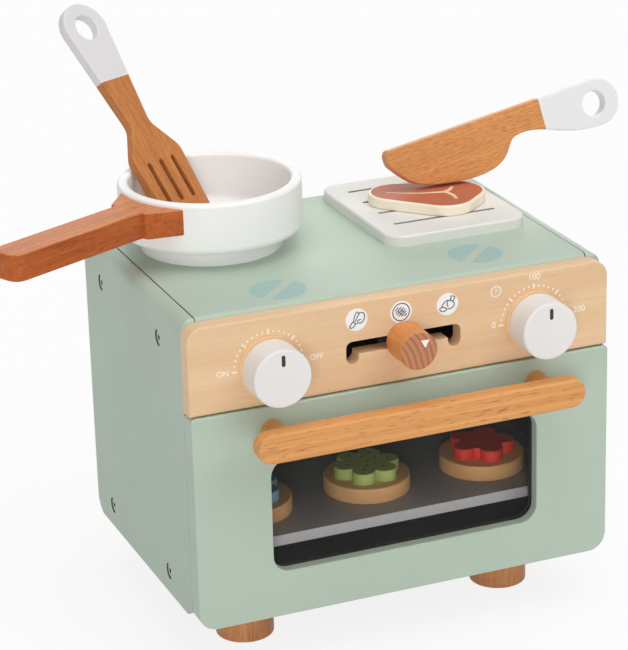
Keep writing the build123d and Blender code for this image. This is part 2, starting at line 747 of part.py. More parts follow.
def window_pane():
    """The clear pane behind the window."""
    pane = slab_xz(window_outline(PANE_MARGIN - PANE_FIT), pane_y, bezel_y)
    for place in bezel_screw_places():
        pane -= small_hole(place)
    return pane


def pane_bezel():
    """The ring that holds the pane."""
    outline = window_outline(PANE_MARGIN - PANE_FIT) - window_outline(0)
    bezel = slab_xz(outline, bezel_y, bezel_y + BEZEL_THICK)
    for place in bezel_screw_places():
        bezel -= small_hole(place)
    return bezel


def handle_posts():
    """The two round posts of the door handle."""
    posts = [rod_y(side * post_x, bar_back_y - POST_SINK, door_front_y, handle_z, POST_RADIUS)
             for side in (-1, 1)]
    holes = [countersink(place, HANDLE_SCREW) for place in handle_screw_places()]
    return [post - hole for post, hole in zip(posts, holes)]


def handle_bar():
    """The door handle's bar, with full round ends."""
    outline = Pos(0, handle_z) * SlotOverall(HANDLE_LENGTH, HANDLE_HEIGHT)
    bar = slab_xz(outline, bar_back_y - HANDLE_THICK, bar_back_y)
    bar = fillet(bar.faces().filter_by(Axis.Y).edges(), HANDLE_ROUND)
    for side in (-1, 1):
        x = side * post_x
        bar -= rod_y(x, bar_back_y - POST_SINK, bar_back_y + 1, handle_z, POST_RADIUS)
    return bar


def magnets(y0):
    """A pair of round magnets, from y0 backwards."""
    return [rod_y(side * magnet_x, y0, y0 + MAGNET_THICK, magnet_z, MAGNET_RADIUS)
            for side in (-1, 1)]


# Hinges


def hinge_leaf(x, side, middle):
    """A leaf with its knuckles: the middle one for the door, the outer two for the casing."""
    face = hinge_y + side * LEAF_SPLIT / 2
    back = face + side * LEAF_THICK
    y0, y1 = min(face, back), max(face, back)
    half = HINGE_LENGTH / 2
    gap = HINGE_MIDDLE / 2 + KNUCKLE_PLAY / 2
    inner = HINGE_MIDDLE / 2 - KNUCKLE_PLAY / 2
    spans = [(-inner, inner)] if middle else [(-half, -gap), (gap, half)]
    leaf = block(x - half, x + half, y0, y1, leaf_z, leaf_z + LEAF_HEIGHT)
    for a, b in spans:
        leaf += block(x + a, x + b, y0, y1, hinge_z, leaf_z)
        leaf += rod_x(x + a, x + b, hinge_y, hinge_z, KNUCKLE_RADIUS)
    bore = HINGE_PIN + HINGE_PIN_FIT
    return leaf - rod_x(x - half - 1, x + half + 1, hinge_y, hinge_z, bore)


def case_leaves():
    """The hinge leaves on the front rail."""
    leaves = [hinge_leaf(x, 1, False) for x in hinge_middles()]
    return drilled(leaves, case_leaf_screw_places())


def door_leaves():
    """The hinge leaves on the door."""
    leaves = [hinge_leaf(x, -1, True) for x in hinge_middles()]
    return drilled(leaves, door_leaf_screw_places())


def drilled(leaves, places):
    """Hinge leaves with their screw holes; each leaf has its share of the places."""
    share = len(places) // len(leaves)
    done = []
    for number, leaf in enumerate(leaves):
        for place in places[number * share:(number + 1) * share]:
            leaf -= small_hole(place)
        done.append(leaf)
    return done


def hinge_pins():
    """The pins of the two hinges."""
    half = HINGE_LENGTH / 2
    return [rod_x(x - half, x + half, hinge_y, hinge_z, HINGE_PIN) for x in hinge_middles()]


# Cookies


def cookie_base(x):
    """A round biscuit."""
    base = rod_z(x, cookie_y, shelf_z, shelf_z + COOKIE_THICK, COOKIE_RADIUS)
    return fillet(base.edges().filter_by(GeomType.CIRCLE), COOKIE_ROUND)


def cookie_topping(x, lobes, turn):
    """A lobed topping glued on a biscuit."""
    outline = Circle(TOPPING_CORE)
    outline += PolarLocations(TOPPING_REACH, lobes, start_angle=turn) * Circle(TOPPING_LOBE)
    topping = Pos(x, cookie_y, shelf_z + COOKIE_THICK) * extrude(outline, amount=TOPPING_THICK)
    return fillet(topping.faces().sort_by(Axis.Z)[-1].edges(), TOPPING_ROUND)


# Pan and spatula


def pan_bowl():
    """The turned pan: a stepped foot, a round belly and a thick wall with a round rim."""
    profile = Pos(PAN_RADIUS / 2, PAN_HEIGHT / 2) * Rectangle(PAN_RADIUS, PAN_HEIGHT)
    step = PAN_RADIUS - PAN_FOOT_RADIUS
    foot_step = Pos(PAN_RADIUS - step / 2, PAN_FOOT_HEIGHT / 2) * Rectangle(step, PAN_FOOT_HEIGHT)
    hollow = PAN_HEIGHT - PAN_FLOOR
    profile -= foot_step
    profile -= Pos(pan_inner / 2, PAN_FLOOR + hollow / 2) * Rectangle(pan_inner, hollow)
    corners = profile.vertices()
    belly = corners.filter_by_position(Axis.X, PAN_RADIUS - 0.1, PAN_RADIUS + 0.1).sort_by(Axis.Y)[0]
    floor = corners.filter_by_position(Axis.X, pan_inner - 0.1, pan_inner + 0.1).sort_by(Axis.Y)[0]
    profile = fillet([belly, floor], PAN_BELLY)
    profile = fillet(profile.vertices().group_by(Axis.Y)[-1], PAN_ROUND)
    bowl = Pos(pan_x, PAN_Y, top_z) * revolve(Plane.XZ * profile, Axis.Z)
    for place in pan_screw_places():
        bowl -= pan_screw_hole(place)
    return bowl


def pan_screw_places():
    """The screws from inside the pan's wall into the handle."""
    reach = sqrt(pan_inner ** 2 - (PAN_SCREW_PITCH / 2) ** 2) + PAN_SCREW_SUNK
    turned = Pos(pan_x, PAN_Y, grip_top_z - GRIP_THICK / 2) * Rot(0, 0, GRIP_ANGLE)
    shifts = (-PAN_SCREW_PITCH / 2, PAN_SCREW_PITCH / 2)
    return [turned * Pos(reach, shift, 0) * Rot(0, -90, 0) for shift in shifts]


def pan_screw_hole(place):
    """A screw hole that opens into the pan."""
    access = place * Pos(0, 0, PAN_WALL / 2) * Cylinder(SCREW_HEAD + SCREW_FIT, PAN_WALL)
    return access + countersink(place, PAN_SCREW_LENGTH)


def pan_handle():
    """The pan's handle: a straight bar whose root flares into a yoke round the wall."""
    half = GRIP_WIDTH / 2
    bar = Pos((YOKE_ROOT + GRIP_REACH) / 2, 0) * Rectangle(GRIP_REACH - YOKE_ROOT, GRIP_WIDTH)
    bar = fillet(bar.vertices().group_by(Axis.X)[-1], min(GRIP_END_ROUND, half - 1))
    reach = PAN_RADIUS * cos(radians(YOKE_ANGLE))
    spread = PAN_RADIUS * sin(radians(YOKE_ANGLE))
    root = YOKE_WIDTH / 2
    flare = (spread - root) / (YOKE_ROOT - reach)
    inside = reach - PAN_WALL
    wide = spread + flare * PAN_WALL
    yoke = make_face(Polyline((inside, -wide), (YOKE_ROOT, -root), (YOKE_ROOT, root),
                              (inside, wide), close=True))
    yoke = fillet(yoke.vertices().group_by(Axis.X)[-1], (root - half) * 0.9)
    grip = extrude(bar + yoke, amount=GRIP_THICK)
    grip = fillet(grip.faces().filter_by(Axis.Z).edges(), GRIP_EASED)
    grip -= Pos(0, 0, GRIP_THICK / 2) * Cylinder(PAN_RADIUS, 2 * GRIP_THICK)
    grip = Pos(pan_x, PAN_Y, grip_top_z - GRIP_THICK) * Rot(0, 0, GRIP_ANGLE) * grip
    for place in pan_screw_places():
        grip -= pan_screw_hole(place)
    return grip


def spatula_outline():
    """The spatula seen flat, with the end of its blade on the X axis and its grip along +Y."""
    middle = SPATULA_LENGTH - SPATULA_END
    right = [(SPATULA_TIP / 2, 0), (SPATULA_BLADE / 2, SPATULA_BLADE_AT),
             (SPATULA_NECK / 2, SPATULA_NECK_AT), (SPATULA_END, middle)]
    left = [(-x, y) for x, y in reversed(right)]
    body = make_face(Polyline(*right, *left, close=True))
    rows = body.vertices().group_by(Axis.Y)
    body = fillet(rows[0], SPATULA_TIP_ROUND)
    body = fillet(body.vertices().filter_by_position(Axis.Y, SPATULA_BLADE_AT - 1,
                                                     SPATULA_NECK_AT + 1), SPATULA_SHOULDER)
    body += Pos(0, middle) * Circle(SPATULA_END)
    body -= Pos(0, middle) * Circle(HANG_HOLE)
    length = SPATULA_SLOT_TO - SPATULA_SLOT_FROM
    slot = Pos(0, SPATULA_SLOT_FROM + length / 2) * SlotOverall(length, SPATULA_SLOT, 90)
    for number in range(SPATULA_SLOTS):
        shift = (number - (SPATULA_SLOTS - 1) / 2) * SPATULA_SLOT_PITCH
        body -= Pos(shift, 0) * slot
    return body


def spatula_lean():
    """The spatula's lean from upright: its widest part touches the inside of the rim."""
    touch = sqrt(pan_inner ** 2 - (SPATULA_BLADE / 2) ** 2) - REST_GAP
    return degrees(atan2(touch - SPATULA_FOOT, rim_z - pan_floor_z))


def spatula():
    """The slotted spatula, with its blade on the pan's floor and its back against the rim."""
    body = extrude(spatula_outline(), amount=SPATULA_THICK)
    body = fillet(body.faces().filter_by(Axis.Z).edges(), TOOL_EASED)
    upright = Rot(90, 0, 0) * body
    leaning = Rot(0, 0, SPATULA_AZIMUTH - 90) * Rot(-spatula_lean(), 0, 0) * upright
    side = radians(SPATULA_AZIMUTH)
    x = pan_x + SPATULA_FOOT * cos(side)
    y = PAN_Y + SPATULA_FOOT * sin(side)
    lowest = leaning.bounding_box().min.Z
    return Pos(x, y, pan_floor_z + REST_GAP - lowest) * leaning


# Grill board, steak and knife


def grill_board():
    """The board with rounded corners and cross grooves."""
    plan = RectangleRounded(GRILL_WIDTH, GRILL_DEPTH, GRILL_ROUND)
    board = extrude(plan, amount=GRILL_THICK)
    board = fillet(board.faces().sort_by(Axis.Z)[-1].edges(), GRILL_EASED)
    groove = extrude(SlotOverall(GROOVE_LENGTH, GROOVE_WIDTH), amount=GROOVE_DEPTH + 1)
    for number in range(GROOVES):
        shift = (number - (GROOVES - 1) / 2) * GROOVE_PITCH + GROOVE_SHIFT
        board -= Pos(0, shift, GRILL_THICK - GROOVE_DEPTH) * groove
    return Pos(grill_x, GRILL_Y, top_z) * board


def steak():
    """The steak: one narrow and one broad end."""
    narrow = Pos(STEAK_NARROW_X, STEAK_NARROW_Y) * Circle(STEAK_NARROW)
    upper = Pos(STEAK_UPPER_X, STEAK_UPPER_Y) * Circle(STEAK_BROAD)
    lower = Pos(STEAK_LOWER_X, STEAK_LOWER_Y) * Circle(STEAK_BROAD)
    plan = make_hull(narrow.edges() + upper.edges() + lower.edges())
    meat = extrude(plan, amount=STEAK_THICK)
    meat = fillet(meat.faces().filter_by(Axis.Z).edges(), STEAK_ROUND)
    place = Pos(grill_x + STEAK_SHIFT, GRILL_Y - STEAK_FORWARD, grill_top_z)
    return place * Rot(0, 0, STEAK_ANGLE) * meat


def knife_outline():
    """The knife seen from the front, with its nose at the left and its straight spine at Y = 0."""
    spine = Line((KNIFE_NOSE, 0), (KNIFE_GRIP, 0))
    end = ThreePointArc(spine @ 1, (KNIFE_GRIP + KNIFE_END, -KNIFE_END),
                        (KNIFE_GRIP, -2 * KNIFE_END))
    underside = [end @ 1, (KNIFE_SWELL, -KNIFE_SWELL_DROP), (KNIFE_HEEL, -KNIFE_NECK),
                 (KNIFE_NOTCH, -KNIFE_NOTCH_DROP), (KNIFE_RISE, -KNIFE_RISE_DROP),
                 (KNIFE_BULGE, KNIFE_BULGE_RISE - KNIFE_BELLY),
                 (KNIFE_BACK, KNIFE_BACK_RISE - KNIFE_BELLY), (KNIFE_LOWEST, -KNIFE_BELLY),
                 (KNIFE_FRONT, KNIFE_FRONT_RISE - KNIFE_BELLY),
                 (KNIFE_CURVE, -KNIFE_CURVE_DROP), (KNIFE_EDGE, -KNIFE_EDGE_DROP),
                 (0, -KNIFE_FORE_DROP)]
    belly = Spline(underside, tangents=[(-1, 0), (0, 1)])
    nose = ThreePointArc(belly @ 1, (KNIFE_TIP, -KNIFE_TIP_DROP), spine @ 0)
    outline = make_face([spine, end, belly, nose])
    return outline - Pos(KNIFE_GRIP - KNIFE_HOLE_SHIFT, -KNIFE_END) * Circle(HANG_HOLE)


def knife():
    """The knife, which stands on its belly on the steak and leans back a little."""
    body = slab_xz(knife_outline(), -KNIFE_THICK / 2, KNIFE_THICK / 2)
    body = fillet(body.faces().filter_by(Axis.Y).edges(), TOOL_EASED)
    body = Rot(0, -KNIFE_TILT, 0) * Pos(-KNIFE_GRIP, 0, KNIFE_END) * body
    body = Rot(-KNIFE_LEAN, 0, 0) * body
    lowest = body.bounding_box().min.Z
    place = Pos(grill_x + KNIFE_REACH, GRILL_Y + KNIFE_SHIFT, steak_top_z + REST_GAP - lowest)
    return place * body


# All sub-parts by name


def sub_parts():
    """Every sub-part as one solid or a list of equal solids."""
    parts = {
        "left_side": side_board(-1),
        "right_side": side_board(1),
        "side_bolts": side_bolts(),
        "top_panel": top_panel(),
        "bottom_panel": bottom_panel(),
        "cavity_ceiling": cavity_ceiling(),
        "back_panel": back_panel(),
        "back_screws": [countersunk(place, BACK_SCREW) for place in back_screw_places()],
        "front_rail": front_rail(),
        "foot_screws": [countersunk(place, FOOT_SCREW) for place in foot_screw_places()],
        "shelf_runners": shelf_runners(),
        "oven_shelf": oven_shelf(),
        "casing_magnets": magnets(front_y),
        "control_panel": control_panel(),
        "panel_dowels": panel_dowels(),
        "selector_guides": selector_guides(),
        "knob_spacers": knob_spacers(),
        "selector_slider": selector_slider(),
        "door_panel": door_panel(),
        "window_pane": window_pane(),
        "pane_bezel": pane_bezel(),
        "bezel_screws": [small_screw(place) for place in bezel_screw_places()],
        "handle_bar": handle_bar(),
        "handle_posts": handle_posts(),
        "handle_screws": [countersunk(place, HANDLE_SCREW) for place in handle_screw_places()],
        "door_magnets": magnets(door_back_y - MAGNET_THICK),
        "hinge_case_leaves": case_leaves(),
        "hinge_case_screws": [small_screw(place) for place in case_leaf_screw_places()],
        "hinge_door_leaves": door_leaves(),
        "hinge_door_screws": [small_screw(place) for place in door_leaf_screw_places()],
        "hinge_pins": hinge_pins(),
        "pan_bowl": pan_bowl(),
        "pan_handle": pan_handle(),
        "pan_screws": [countersunk(place, PAN_SCREW_LENGTH) for place in pan_screw_places()],
        "spatula": spatula(),
        "grill_board": grill_board(),
        "steak": steak(),
        "knife": knife(),
    }
    parts.update({name: foot(x, y) for name, (x, y) in foot_places().items()})
    for name, side in (("left", -1), ("right", 1)):
        parts.update({f"{name}_{piece}": shape for piece, shape in turning_knob(side).items()})
    parts.update(selector())
    cookies = (("left", -COOKIE_PITCH, 5, 18), ("middle", 0, 6, 0), ("right", COOKIE_PITCH, 5, -18))
    for name, x, lobes, turn in cookies:
        parts[f"{name}_cookie"] = cookie_base(x)
        parts[f"{name}_topping"] = cookie_topping(x, lobes, turn)
    return parts


def solids_of(shape):
    """The solids of a sub-part, whatever holds them."""
    if isinstance(shape, list):
        return [solid for piece in shape for solid in piece.solids()]
    return list(shape.solids())


for name, shape in sub_parts().items():
    solids = [Pos(CASING_X, CASING_Y, 0) * solid for solid in solids_of(shape)]
    group = solids[0] if len(solids) == 1 else Compound(children=solids)
    group.label = name
    export_step(group, f"parts/{name}.step")
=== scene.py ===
# %% [markdown]
# # A wooden toy oven
#
# This lesson dresses a finished CAD model of a small wooden play oven. The boards, knobs,
# screws, pan, tools and pretend food come from the CAD model. Blender adds what a toy maker
# adds after the saw and the router: paint, lacquer, wood grain and the printed marks.
# Every measure below is in millimetres from the middle of the casing, unless it says metres.

# %% Load the frame
from math import cos, pi, radians, sin

import bpy
from mathutils import Matrix, Vector


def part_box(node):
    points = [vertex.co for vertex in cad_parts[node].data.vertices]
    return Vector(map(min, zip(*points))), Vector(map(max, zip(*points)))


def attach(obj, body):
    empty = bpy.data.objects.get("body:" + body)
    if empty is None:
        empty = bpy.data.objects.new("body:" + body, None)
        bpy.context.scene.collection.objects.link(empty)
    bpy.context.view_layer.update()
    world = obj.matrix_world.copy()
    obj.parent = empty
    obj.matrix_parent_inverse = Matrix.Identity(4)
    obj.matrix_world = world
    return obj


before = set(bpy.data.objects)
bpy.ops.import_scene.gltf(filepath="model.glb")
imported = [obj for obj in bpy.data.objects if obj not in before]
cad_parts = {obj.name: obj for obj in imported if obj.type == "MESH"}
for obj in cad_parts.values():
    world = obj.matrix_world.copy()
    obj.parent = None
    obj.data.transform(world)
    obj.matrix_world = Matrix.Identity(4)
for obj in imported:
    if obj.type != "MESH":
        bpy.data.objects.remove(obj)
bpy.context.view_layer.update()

print("pieces in the frame:", len(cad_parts))

# %% [markdown]
# ## Places
#
# The casing doesn't stand exactly over the origin, because the origin lies under the middle of
# everything, with the pan's handle and the knife. So the first thing to measure is the middle
# of the casing. From there, a print goes where a maker would mark it with a ruler.

# %% Measure the middle of the casing
MM = 0.001
left_board, right_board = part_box("left_side"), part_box("right_side")
CASING = Vector(((left_board[0].x + right_board[1].x) / 2,
                 (left_board[0].y + left_board[1].y) / 2, 0.0))


def at(x, y, z):
    """A place in metres, from millimetres measured from the middle of the casing."""
    return CASING + Vector((x, y, z)) * MM


PANEL_FACE = (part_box("control_panel")[0].y - CASING.y) / MM
LID_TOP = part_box("top_panel")[1].z / MM
print("casing middle", tuple(round(v / MM, 2) for v in CASING), "panel face", round(PANEL_FACE, 2))

# %% [markdown]
# ## Small tools of the trade
#
# A beginner meets the same few steps again and again: select one piece, shape it in edit mode,
# put it in its place, and say which moving body it belongs to. They are written once here.
# `settle` applies the place to the mesh, so that the object itself stays at the origin, and
# `belongs` ties the piece to its body and its finish.

# %% Select, settle and tie a piece
def only(piece):
    """Select this piece alone."""
    bpy.ops.object.select_all(action="DESELECT")
    piece.select_set(True)
    bpy.context.view_layer.objects.active = piece


def settle(piece):
    """Apply the piece's place, turn and scale to its mesh."""
    only(piece)
    bpy.ops.object.transform_apply(location=True, rotation=True, scale=True)
    return piece


def joined(pieces, name):
    """Join pieces into one object."""
    bpy.ops.object.select_all(action="DESELECT")
    for piece in pieces:
        piece.select_set(True)
    bpy.context.view_layer.objects.active = pieces[0]
    bpy.ops.object.join()
    pieces[0].name = name
    return pieces[0]


def twin(piece, matrix):
    """A copy with its own mesh, moved by the matrix."""
    other = piece.copy()
    other.data = piece.data.copy()
    bpy.context.scene.collection.objects.link(other)
    other.data.transform(matrix)
    return other


def discard(piece):
    """Throw away a pattern piece once its copies are made."""
    bpy.data.objects.remove(piece)


def belongs(piece, body, finish):
    """The piece moves with its body and has its finish."""
    piece.data.materials.clear()
    piece.data.materials.append(finish)
    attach(piece, body)
    print("made", piece.name, "for", body, "with", len(piece.data.polygons), "faces")
    return piece


def soften_rim(piece, width):
    """A narrow bevel on every edge sharper than 50 degrees."""
    only(piece)
    bpy.ops.object.mode_set(mode="EDIT")
    bpy.ops.mesh.select_all(action="SELECT")
    bpy.ops.mesh.edges_select_sharp(sharpness=radians(50))
    bpy.ops.mesh.bevel(offset=width * MM, segments=1)
    bpy.ops.object.mode_set(mode="OBJECT")


# %% [markdown]
# ## Node helpers for the finishes
#
# No finish on the toy is one flat colour. Wood has fibres, broad bands and small flecks; paint
# has the texture of the roller. All of them are patterns of noise in the space of the piece.
# `wood_space` sets up that space: its X axis runs along the grain, and its scale says how long
# and how thin the fibres are. A Mapping node of type Texture does just this, because it takes
# the piece's own point back into the pattern's space.

# %% Node helpers
def colour(red, green, blue):
    """A colour as it looks on the screen, 0 to 255, as the linear value a shader wants."""
    def line(value):
        value = value / 255
        return value / 12.92 if value <= 0.04045 else ((value + 0.055) / 1.055) ** 2.4
    return (line(red), line(green), line(blue), 1.0)


def new_finish(name, roughness=0.5):
    """A new material and its principled shader."""
    finish = bpy.data.materials.new(name)
    finish.use_nodes = True
    shader = finish.node_tree.nodes["Principled BSDF"]
    shader.inputs["Roughness"].default_value = roughness
    return finish, finish.node_tree, shader


def node(tree, kind, **values):
    """A node with its plain settings."""
    made = tree.nodes.new(kind)
    for key, value in values.items():
        setattr(made, key, value)
    return made


def wood_space(tree, middle, turn, sizes):
    """The point of the piece in the space of a pattern."""
    spot = node(tree, "ShaderNodeTexCoord")
    space = node(tree, "ShaderNodeMapping", vector_type="TEXTURE")
    space.inputs["Location"].default_value = middle
    space.inputs["Rotation"].default_value = turn
    space.inputs["Scale"].default_value = sizes
    tree.links.new(spot.outputs["Object"], space.inputs["Vector"])
    return space.outputs["Vector"]


def plain_space(tree, size):
    """A space with no turn and no grain, for a pattern as large as size in metres."""
    return wood_space(tree, (0, 0, 0), (0, 0, 0), (size,) * 3)


def noise(tree, space, detail, rough=0.55, distortion=0.0):
    """A noise pattern of about one unit in its space."""
    made = node(tree, "ShaderNodeTexNoise")
    made.inputs["Scale"].default_value = 1.0
    made.inputs["Detail"].default_value = detail
    made.inputs["Roughness"].default_value = rough
    made.inputs["Distortion"].default_value = distortion
    tree.links.new(space, made.inputs["Vector"])
    return made.outputs["Fac"]


def reckon(tree, how, first, second, third=0.0):
    """A Math node on outputs or numbers."""
    made = node(tree, "ShaderNodeMath", operation=how)
    for socket, value in zip(made.inputs, (first, second, third)):
        if isinstance(value, (int, float)):
            socket.default_value = value
        else:
            tree.links.new(value, socket)
    return made.outputs["Value"]


def ramp(tree, factor, stops):
    """A colour ramp with stops of place and colour."""
    made = node(tree, "ShaderNodeValToRGB")
    elements = made.color_ramp.elements
    while len(elements) < len(stops):
        elements.new(0.5)
    for element, (place, tone) in zip(elements, stops):
        element.position = place
        element.color = tone
    tree.links.new(factor, made.inputs["Fac"])
    return made.outputs["Color"]


def blend(tree, factor, first, second, how="MIX"):
    """Two colours mixed by a factor."""
    made = node(tree, "ShaderNodeMix", data_type="RGBA", blend_type=how)
    inputs = [s for s in made.inputs if s.type == "RGBA"]
    for socket, value in ((made.inputs[0], factor), (inputs[0], first), (inputs[1], second)):
        if isinstance(value, (tuple, float, int)):
            socket.default_value = value
        else:
            tree.links.new(value, socket)
    return [s for s in made.outputs if s.type == "RGBA"][0]


def relief(tree, shader, height, depth, strength):
    """A fine relief, with its depth in millimetres."""
    made = node(tree, "ShaderNodeBump")
    made.inputs["Strength"].default_value = strength
    made.inputs["Distance"].default_value = depth * MM
    tree.links.new(height, made.inputs["Height"])
    tree.links.new(made.outputs["Normal"], shader.inputs["Normal"])


def axis_value(tree, letter):
    """One coordinate of the piece's own point, in metres."""
    spot = node(tree, "ShaderNodeTexCoord")
    split = node(tree, "ShaderNodeSeparateXYZ")
    tree.links.new(spot.outputs["Object"], split.inputs["Vector"])
    return split.outputs[letter]


def varied(tree, shader, pattern, low, high):
    """The roughness changes a little with the pattern."""
    made = node(tree, "ShaderNodeMapRange")
    made.inputs["To Min"].default_value = low
    made.inputs["To Max"].default_value = high
    tree.links.new(pattern, made.inputs["Value"])
    tree.links.new(made.outputs["Result"], shader.inputs["Roughness"])


def tinted(tone, share):
    """A colour made lighter or darker by a share."""
    return tuple(min(1.0, c * share) for c in tone[:3]) + (1.0,)


def so_far(finish):
    """The tree, the shader and the base colour that a finish has so far."""
    tree = finish.node_tree
    shader = tree.nodes["Principled BSDF"]
    return tree, shader, shader.inputs["Base Color"].links[0].from_socket


def overpaint(finish, where, tone, how="MIX"):
    """Another colour over the base colour, where a pattern is one."""
    tree, shader, base = so_far(finish)
    tree.links.new(blend(tree, where, base, tone, how), shader.inputs["Base Color"])


# %% [markdown]
# ## Paint
#
# The boards of the casing are rolled with a water-based satin paint. A roller leaves a very
# fine orange-peel texture and soft clouds a few centimetres wide. Two noises are enough for
# that. The boards are black inside the oven, so the paint changes where a board turns its
# face inwards: one coordinate of the point decides it. The walls of the round recesses for the
# side bolts are painted dark as well: this is painted shade, since little light reaches them.

# %% Painted finishes
BLACK_INSIDE = colour(38, 36, 34)
CLOUDS = 0.035
CLOUD_SIZE, PEEL_SIZE = 50 * MM, 1.1 * MM


def within(tree, letter, low, high):
    """One where the coordinate lies between two places in metres, and zero elsewhere."""
    value = axis_value(tree, letter)
    return reckon(tree, "MULTIPLY", reckon(tree, "GREATER_THAN", value, low),
                  reckon(tree, "LESS_THAN", value, high))


def painted(name, tone, inside=None, peel=0.03, roughness=(0.42, 0.56)):
    """Rolled satin paint; inside says where it is dark: an axis, a place in metres, a side."""
    finish, tree, shader = new_finish(name)
    broad = noise(tree, plain_space(tree, CLOUD_SIZE), 2.0)
    fine = noise(tree, plain_space(tree, PEEL_SIZE), 2.0)
    base = ramp(tree, broad, [(0.3, tinted(tone, 1 - CLOUDS)), (0.7, tinted(tone, 1 + CLOUDS))])
    speck = ramp(tree, fine, [(0.25, tinted(tone, 0.93)), (0.6, tinted(tone, 1.0))])
    base = blend(tree, 0.3, base, speck)
    if inside:
        letter, place, side = inside
        dark = reckon(tree, side, axis_value(tree, letter), place)
        base = blend(tree, dark, base, BLACK_INSIDE)
    tree.links.new(base, shader.inputs["Base Color"])
    varied(tree, shader, fine, *roughness)
    relief(tree, shader, fine, peel, 0.35)
    return finish


GREEN = colour(181, 198, 181)
# Painted shade: the dark colour of the walls of the bolt recesses.
RECESS_SHADE = colour(58, 62, 52)
SKIN = 0.05 * MM
RECESS_MARGIN, RECESS_LIP = 2.0 * MM, 0.3 * MM
inner_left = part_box("left_side")[1].x - SKIN
inner_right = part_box("right_side")[0].x + SKIN
lid_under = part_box("top_panel")[0].z + SKIN
back_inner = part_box("back_panel")[0].y + SKIN
bolts_low, bolts_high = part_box("side_bolts")


def side_paint(name, inside, low, high):
    """A side board, with painted shade on the walls of the round recesses of its bolts, low to
    high in X.
    """
    finish = painted(name, GREEN, inside)
    tree = finish.node_tree
    near_bolts = [within(tree, letter, getattr(bolts_low, letter.lower()) - RECESS_MARGIN,
                         getattr(bolts_high, letter.lower()) + RECESS_MARGIN)
                  for letter in "YZ"]
    recess_shade = reckon(tree, "MULTIPLY", reckon(tree, "MULTIPLY", *near_bolts),
                    within(tree, "X", low, high))
    overpaint(finish, recess_shade, RECESS_SHADE)
    return finish


green_left = side_paint("green paint left side", ("X", inner_left, "GREATER_THAN"),
                        left_board[0].x + RECESS_LIP, inner_left)
green_right = side_paint("green paint right side", ("X", inner_right, "LESS_THAN"),
                         inner_right, right_board[1].x - RECESS_LIP)
green_lid = painted("green paint lid", GREEN, ("Z", lid_under, "LESS_THAN"))
green_door = painted("green paint door", GREEN)
white_paint = painted("white paint", colour(236, 232, 230), peel=0.02, roughness=(0.38, 0.5))
# Painted light: the pan has a lighter copy of the white paint, so its shaded bowl looks as white
# as the knobs.
lit_pan_paint = painted("pan paint", colour(251, 250, 248), peel=0.02, roughness=(0.4, 0.52))
black_paint = painted("black paint", BLACK_INSIDE, roughness=(0.6, 0.8))
red_paint = painted("red topping paint", colour(238, 58, 44))
leaf_paint = painted("green topping paint", colour(184, 204, 112))
blue_paint = painted("blue topping paint", colour(142, 180, 202))
print("paints ready")

# %% [markdown]
# ## Wood
#
# Three kinds of wood show on this toy. The control panel is pale and calm. The door handle has
# strong, dark lines. The tools and the pan's handle are reddish, with the small dark dashes
# that beech has. One function makes them all: long thin noise for the fibres, longer and wider
# noise for the bands, and a threshold on a third noise for the dashes. Where a tool is dipped in
# paint, the paint hides the grain and fills its relief.

# %% Wood finishes
LACQUER_ROUGHNESS = (0.36, 0.5)


def wooden(name, pale, dark, middle=(0, 0, 0), turn=(0, 0, 0), fibre=(45, 0.9), band=(160, 9),
           bands=0.45, flecks=0.0, fleck=(5, 0.8), sparse=0.62, contrast=(0.32, 0.72),
           shine=0.3, depth=0.06, paint=None):
    """Lacquered wood whose grain runs along the turned X axis.

    fibre, band and fleck are a length and a width in millimetres. bands and flecks say how
    strong the bands and the dashes are, sparse how rare the dashes are. paint is a place along
    the grain in millimetres, a side of it and a colour.
    """
    finish, tree, shader = new_finish(name)
    shader.inputs["Specular IOR Level"].default_value = shine

    def sizes(pair):
        return (pair[0] * MM, pair[1] * MM, pair[1] * MM)

    fibres = noise(tree, wood_space(tree, middle, turn, sizes(fibre)), 4.0, 0.6)
    broad = noise(tree, wood_space(tree, middle, turn, sizes(band)), 3.0, 0.5, 0.6)
    pattern = reckon(tree, "ADD", reckon(tree, "MULTIPLY", fibres, 1 - bands),
                     reckon(tree, "MULTIPLY", broad, bands))
    base = ramp(tree, pattern, [(contrast[0], dark), (contrast[1], pale)])
    if flecks:
        dashes = noise(tree, wood_space(tree, middle, turn, sizes(fleck)), 1.0, 0.4)
        spots = ramp(tree, dashes, [(sparse, (0, 0, 0, 1)), (sparse + 0.1, (1, 1, 1, 1))])
        base = blend(tree, reckon(tree, "MULTIPLY", spots, flecks), base, tinted(dark, 0.6))
    height = fibres
    if paint:
        edge, side, tone = paint
        split = node(tree, "ShaderNodeSeparateXYZ")
        tree.links.new(wood_space(tree, middle, turn, (1, 1, 1)), split.inputs["Vector"])
        mask = reckon(tree, side, split.outputs["X"], edge * MM)
        dull = noise(tree, wood_space(tree, middle, turn, (0.0012,) * 3), 2.0)
        coat = ramp(tree, dull, [(0.3, tinted(tone, 0.97)), (0.7, tone)])
        base = blend(tree, mask, base, coat)
        height = reckon(tree, "MULTIPLY", fibres, reckon(tree, "SUBTRACT", 1.0, mask))
    tree.links.new(base, shader.inputs["Base Color"])
    varied(tree, shader, fibres, *LACQUER_ROUGHNESS)
    relief(tree, shader, height, depth, 0.45)
    shader.inputs["Coat Weight"].default_value = 0.04
    shader.inputs["Coat Roughness"].default_value = 0.3
    return finish


def grain_turn(direction):
    """The turn that brings the X axis onto a direction."""
    return Vector(direction).to_track_quat("X", "Z").to_euler()


